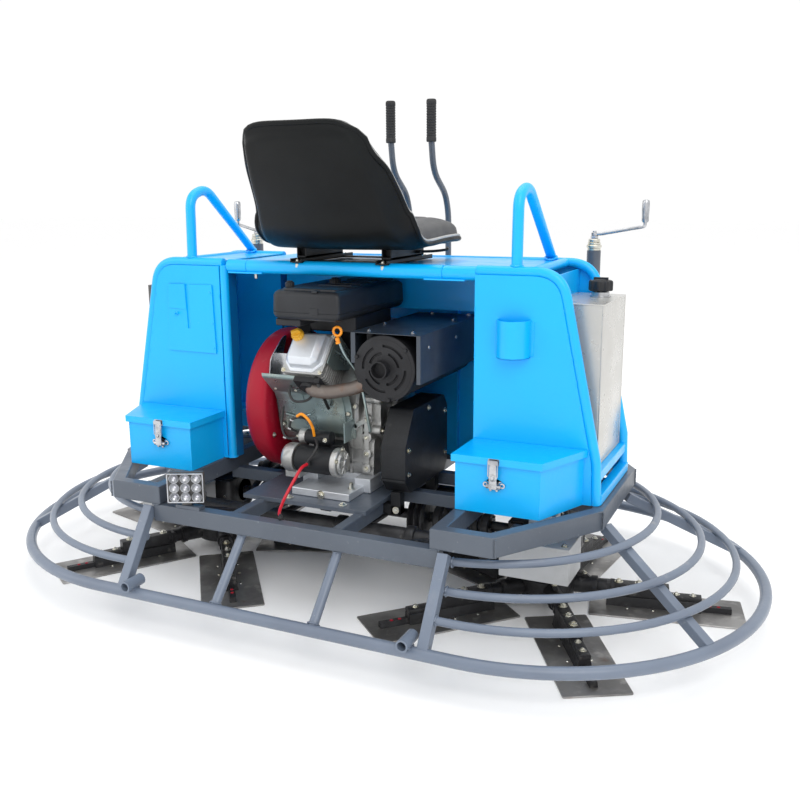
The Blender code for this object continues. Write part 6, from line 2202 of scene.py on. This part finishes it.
def build_gearbox(side, word):
    """Rotor gearbox hung from the frame."""
    x = side * ROTOR_X
    body = prism(square(0.08, 0.072, 0.016), "z", 0.132, 0.21)
    solids = [moved(body, Matrix.Translation((x, 0, 0)))]
    at = (x, 0.0, 0.0)
    solids += [
        moved(prism(square(0.074, 0.066, 0.014), "z", 0.128, 0.214), Matrix.Translation((x, 0, 0))),
        drum(at, UP, 0.06, 0.105, 0.13, 0.004, 44), drum(at, UP, 0.03, 0.0862, 0.11, 0.002, 36),
        drum(at, UP, 0.052, 0.212, 0.232, 0.004, 44), drum(at, UP, 0.026, 0.23, 0.24, 0.003, 32),
        drum((x - side * 0.08, 0, 0.168), (-side, 0, 0), 0.034, -0.004, 0.0, 0.001, 36),
    ]
    for k in range(5):
        y = -0.056 + 0.028 * k
        solids.append(
            box(
                min(x + side * 0.078, x + side * 0.0815), max(x + side * 0.078, x + side * 0.0815),
                y - 0.003, y + 0.003, 0.138, 0.204,
            )
        )
    for y in (-HANGER_Y, HANGER_Y):
        solids.append(box(x - 0.03, x + 0.03, y - 0.013, y + 0.013, 0.19, 0.2717))
    solids.append(box(x - 0.03, x + 0.03, -HANGER_Y, HANGER_Y, 0.19, 0.212))
    piece(word + "_gearbox_casting", solids, "greasy", hides=[word + "_gearbox"], bevel=0.003)
    fixings = []
    for k in range(8):
        angle = 2.0 * math.pi * (k + 0.5) / 8
        fixings += bolt((x + 0.043 * math.cos(angle), 0.043 * math.sin(angle), 0.232), UP, 0.0045, 0.005)
        fixings += bolt((x + 0.052 * math.cos(angle), 0.052 * math.sin(angle), 0.105), DOWN, 0.004, 0.004)
    for y in (-1, 1):
        for k in (-0.06, 0.06):
            fixings += bolt((x + k, y * 0.066, 0.166), (0, y, 0), 0.0055, 0.005)
    piece(word + "_gearbox_bolts", fixings, "zinc")
    build_cover_box(x, word)


def build_cover_box(x, word):
    """Sheet box over the front of a rotor's gearbox."""
    low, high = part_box(word + "_cover_box")
    neck = [box(low[0] + 0.05, high[0] - 0.05, -0.15, -0.0985, 0.215, 0.271)]
    shell = [box(low[0], high[0], low[1], high[1], 0.134, 0.2205)]
    shell.append(box(low[0] - 0.0012, high[0] + 0.0012, low[1] - 0.0012, high[1], 0.213, 0.221))
    piece(word + "_cover_box_shell", shell + neck, "pale", hides=[word + "_cover_box"], bevel=0.0022)
    fixings = []
    for px in (low[0] + 0.014, high[0] - 0.014):
        fixings += bolt((px, low[1] + 0.016, 0.221), UP, 0.0055, 0.006)
    for k in (-0.018, 0.018):
        fixings += bolt((x + k, -0.158, 0.221), UP, 0.005, 0.01)
    piece(word + "_cover_box_bolts", fixings, "zinc")


def blade_angle(side, i):
    """Direction of a blade's arm."""
    return FIRST_BLADE[side] + 2.0 * math.pi * i / BLADES


def build_spider(side, word):
    """Rotor hub with its arm sockets."""
    x = side * ROTOR_X
    at = (x, 0.0, 0.0)
    hub = spin([
        (0.0, 0.0858), (0.04, 0.0858), (0.044, 0.084), (0.052, 0.077), (0.07, 0.0715), (0.074, 0.068),
        (0.074, 0.03), (0.07, 0.024), (0.058, 0.02), (0.0, 0.02),
    ], at, UP, 48)
    solids = [hub]
    fixings = []
    for i in range(BLADES):
        angle = blade_angle(side, i)
        turn = Matrix.Translation((x, 0, ARM_Z)) @ Matrix.Rotation(angle, 4, "Z")
        solids.append(moved(pipe((0, 0, 0), RIGHT, 0.0215, 0.0138, 0.05, 0.128, 28), turn))
        solids.append(moved(pipe((0, 0, 0), RIGHT, 0.0232, 0.015, 0.112, 0.1275, 28), turn))
        solids.append(
            moved(
                prism(
                    fillet([(0.06, 0.012), (0.118, 0.012), (0.1, 0.03), (0.06, 0.034)], 0.004), "y", -0.005,
                    0.005,
                ),
                turn,
            )
        )
        fixings += [moved(s, turn) for s in bolt((0.094, 0.0, 0.029), UP, 0.0055, 0.005)]
        fixings += [moved(s, turn) for s in bolt((0.12, 0.0, -0.0232), DOWN, 0.004, 0.003)]
    piece(
        word + "_spider_casting", solids, "greasy", word + "_spider_body", hides=[word + "_spider"],
        bevel=0.0012,
    )
    piece(word + "_spider_bolts", fixings, "zinc", word + "_spider_body")


def build_blade(side, word, i):
    """Trowel arm with its blade, drawn along +X and turned to its direction."""
    name = word + "_blade_" + str(i + 1)
    body = name + "_body"
    place = Matrix.Translation((side * ROTOR_X, 0.0, 0.0)) @ Matrix.Rotation(blade_angle(side, i), 4, "Z")
    wear = 0.004 * math.sin(2.7 * i + side)
    plan = fillet([(0.1105, -0.075), (0.472, -0.075 + wear), (0.47, 0.075), (0.1105, 0.075)], 0.005, 3)
    top = [(a, b * 0.985, 0.0042) for a, b in plan]
    sheet = loft([[(a, b, 0.0) for a, b in plan], [(a, b, 0.003) for a, b in plan], top])
    piece(name + "_sheet", [moved(sheet, place)], "blade", body, hides=[name], **FINE)
    rib = [
        (-0.02, 0.0036), (-0.0165, 0.0046), (-0.0135, 0.0265), (-0.011, 0.029), (0.011, 0.029),
        (0.0135, 0.0265), (0.0165, 0.0046), (0.02, 0.0036),
    ]
    spine = prism(rib, "x", 0.15, 0.372)
    tail = prism([(-0.009, 0.004), (0.009, 0.004), (0.0075, 0.017), (-0.0075, 0.017)], "x", 0.296, 0.442)
    piece(
        name + "_rib", [moved(spine, place), moved(tail, place)], "greasy", body, bevel=0.0008, segments=1,
    )
    arm = [
        prism(fillet(rect(-0.0155, 0.0155, 0.0292, 0.06), 0.003, 3), "x", 0.146, 0.296),
        tube([(0.083, 0, ARM_Z), (0.16, 0, ARM_Z)], 0.0129, 24),
        tube([(0.1283, 0, ARM_Z), (0.15, 0, ARM_Z)], 0.018, 24),
        prism(fillet(rect(-0.013, 0.013, 0.029, 0.04), 0.003, 3), "x", 0.296, 0.372),
        pipe((0.158, 0, ARM_Z), RIGHT, 0.0195, 0.0125, 0.0, 0.01, 24),
    ]
    piece(name + "_arm", [moved(s, place) for s in arm], "greasy", body, bevel=0.0008, segments=1)
    fixings = []
    for x in (0.178, 0.226, 0.272):
        fixings += bolt((x, 0, 0.06), UP, 0.0072, 0.0065)
    for x in (0.314, 0.352):
        fixings += bolt((x, 0, 0.04), UP, 0.0055, 0.005)
    for x in (0.2, 0.26, 0.33):
        for y in (-0.0262, 0.0262):
            fixings.append(dome((x, y, 0.004), UP, 0.004, 0.0022))
    piece(name + "_bolts", [moved(s, place) for s in fixings], "zinc", body)
    studs = [dome((x, 0, 0.0168), UP, 0.0045, 0.0022) for x in (0.392, 0.412)]
    piece(name + "_studs", [moved(s, place) for s in studs], "red", body)


def build_work_light():
    """Work light with nine bowls in a finned case."""
    centre = Vector((-0.278, -0.415, 0.3165))
    place = Matrix.Translation(centre) @ Matrix.Rotation(math.radians(25.0), 4, "Z")
    front = -0.018
    case = [
        moved(
            prism(square(0.043, 0.0365, 0.005), "z", 0.0, 0.012),
            Matrix.Translation((0, front + 0.0205, 0.0005)) @ Matrix.Rotation(math.radians(90), 4, "X"),
        ),
        box(-0.038, 0.038, front + 0.01, 0.002, -0.032, 0.033),
    ]
    for k in range(9):
        x = -0.036 + 0.009 * k
        case.append(box(x - 0.0012, x + 0.0012, 0.0, 0.018, -0.032, 0.033))
    case.append(box(-0.012, 0.012, -0.01, 0.01, -0.0442, -0.03))
    case += [
        drum((x, 0.0, -0.02), (1 if x > 0 else -1, 0, 0), 0.006, -0.004, 0.003, 0.001, 18)
        for x in (-0.042, 0.042)
    ]
    piece(
        "work_light_case", at_bank(place, case), "dark_tank", "work_light_body", hides=["work_light"],
        bevel=0.0008,
    )
    bowls = []
    chips = []
    for i in range(3):
        for j in range(3):
            x = -0.0262 + 0.0262 * i
            z = -0.0226 + 0.023 * j
            at = (x, front + 0.001, z)
            bowls.append(
                spin(
                    [
                        (0.0118, -0.007), (0.0118, 0.001), (0.011, 0.0012), (0.0098, -0.001),
                        (0.007, -0.0048), (0.003, -0.0066), (0.003, -0.0074),
                    ],
                    at, REAR, 28,
                )
            )
            chips.append(dome((x, front + 0.0078, z), REAR, 0.0034, 0.003))
    piece("work_light_bowls", at_bank(place, bowls), "chrome", "work_light_body")
    piece("work_light_chips", at_bank(place, chips), "lamp_lens", "work_light_body")
    frame_edge = [
        box(-0.043, 0.043, front - 0.0012, front + 0.0006, 0.0335, 0.0365),
        box(-0.043, 0.043, front - 0.0012, front + 0.0006, -0.0358, -0.0328),
        box(-0.043, -0.04, front - 0.0012, front + 0.0006, -0.0358, 0.0365),
        box(0.04, 0.043, front - 0.0012, front + 0.0006, -0.0358, 0.0365),
    ]
    piece(
        "work_light_bezel", at_bank(place, frame_edge), "chrome", "work_light_body", bevel=0.0004,
        segments=1,
    )


# ---- stage ----------------------------------------------------------------
def build_stage():
    """Pale floor, white world and three soft lamps."""
    mesh = bpy.data.meshes.new("floor")
    mesh.from_pydata([(-30, -30, 0), (30, -30, 0), (30, 30, 0), (-30, 30, 0)], [], [(0, 1, 2, 3)])
    floor = bpy.data.objects.new("floor", mesh)
    bpy.context.scene.collection.objects.link(floor)
    pale = bpy.data.materials.new("floor_pale")
    pale.use_nodes = True
    shader = pale.node_tree.nodes["Principled BSDF"]
    shader.inputs["Base Color"].default_value = (0.98, 0.98, 0.98, 1.0)
    shader.inputs["Roughness"].default_value = 0.9
    shader.inputs["Specular IOR Level"].default_value = 0.1
    mesh.materials.append(pale)
    world = bpy.data.worlds.new("studio")
    world.use_nodes = True
    world.node_tree.nodes["Background"].inputs["Color"].default_value = (1.0, 1.0, 1.0, 1.0)
    world.node_tree.nodes["Background"].inputs["Strength"].default_value = 1.02
    bpy.context.scene.world = world
    lamps = (
        ("key", (2.6, -3.2, 4.0), 3.2, 90.0), ("fill", (-4.0, -3.0, 2.6), 3.5, 45.0),
        ("top", (0.0, 0.6, 4.6), 4.0, 60.0),
    )
    for name, at, size, power in lamps:
        light = bpy.data.lights.new(name, "AREA")
        light.size = size
        light.energy = power
        lamp = bpy.data.objects.new(name, light)
        lamp.location = at
        lamp.rotation_euler = (Vector((0.0, 0.0, 0.45)) - Vector(at)).to_track_quat("-Z", "Y").to_euler()
        bpy.context.scene.collection.objects.link(lamp)
    bpy.context.scene.view_settings.view_transform = "Standard"


def build_camera():
    """Camera at the photograph's viewing angle."""
    azimuth, elevation, roll = (math.radians(a) for a in (24.854, 12.654, -0.404))
    right = Vector((math.cos(azimuth), math.sin(azimuth), 0.0))
    up = Vector(
        (
            -math.sin(elevation) * math.sin(azimuth), math.sin(elevation) * math.cos(azimuth),
            math.cos(elevation),
        )
    )
    back = right.cross(up)
    across = right * math.cos(roll) + up * math.sin(roll)
    above = up * math.cos(roll) - right * math.sin(roll)
    lens = bpy.data.cameras.new("camera")
    lens.lens = 41.81
    lens.sensor_width = 36.0
    camera = bpy.data.objects.new("camera", lens)
    turn = Matrix((across, above, back)).transposed().to_4x4()
    camera.matrix_world = Matrix.Translation((1.0637, -2.1084, 0.993)) @ turn
    bpy.context.scene.collection.objects.link(camera)
    bpy.context.scene.camera = camera


build_camera()
build_stage()
build_frame()
build_outer_ring()
build_deck()
build_cup_holder()
build_control_cover()
build_fuel_tank()
build_fuel_cap()
build_water_tank()
build_lever_stand()
build_seat()
build_crankcase()
build_bank(REAR_BANK_X, 1, "rear")
build_bank(FRONT_BANK_X, -1, "front")
build_blower()
build_air_cleaner()
build_muffler()
build_exhaust_pipe()
build_heat_shield()
build_starter()
build_cables()
build_oil_cap()
build_dipstick()
build_belt_guard()
build_drive_shaft()
build_work_light()
for hand, title in SIDES:
    build_cage(hand, title)
    build_tower(hand, title)
    build_tool_box(hand, title)
    build_latch(hand, title)
    build_handle(title)
    build_lever(hand, title)
    build_jack(hand, title)
    build_gearbox(hand, title)
    build_spider(hand, title)
    for number in range(BLADES):
        build_blade(hand, title, number)
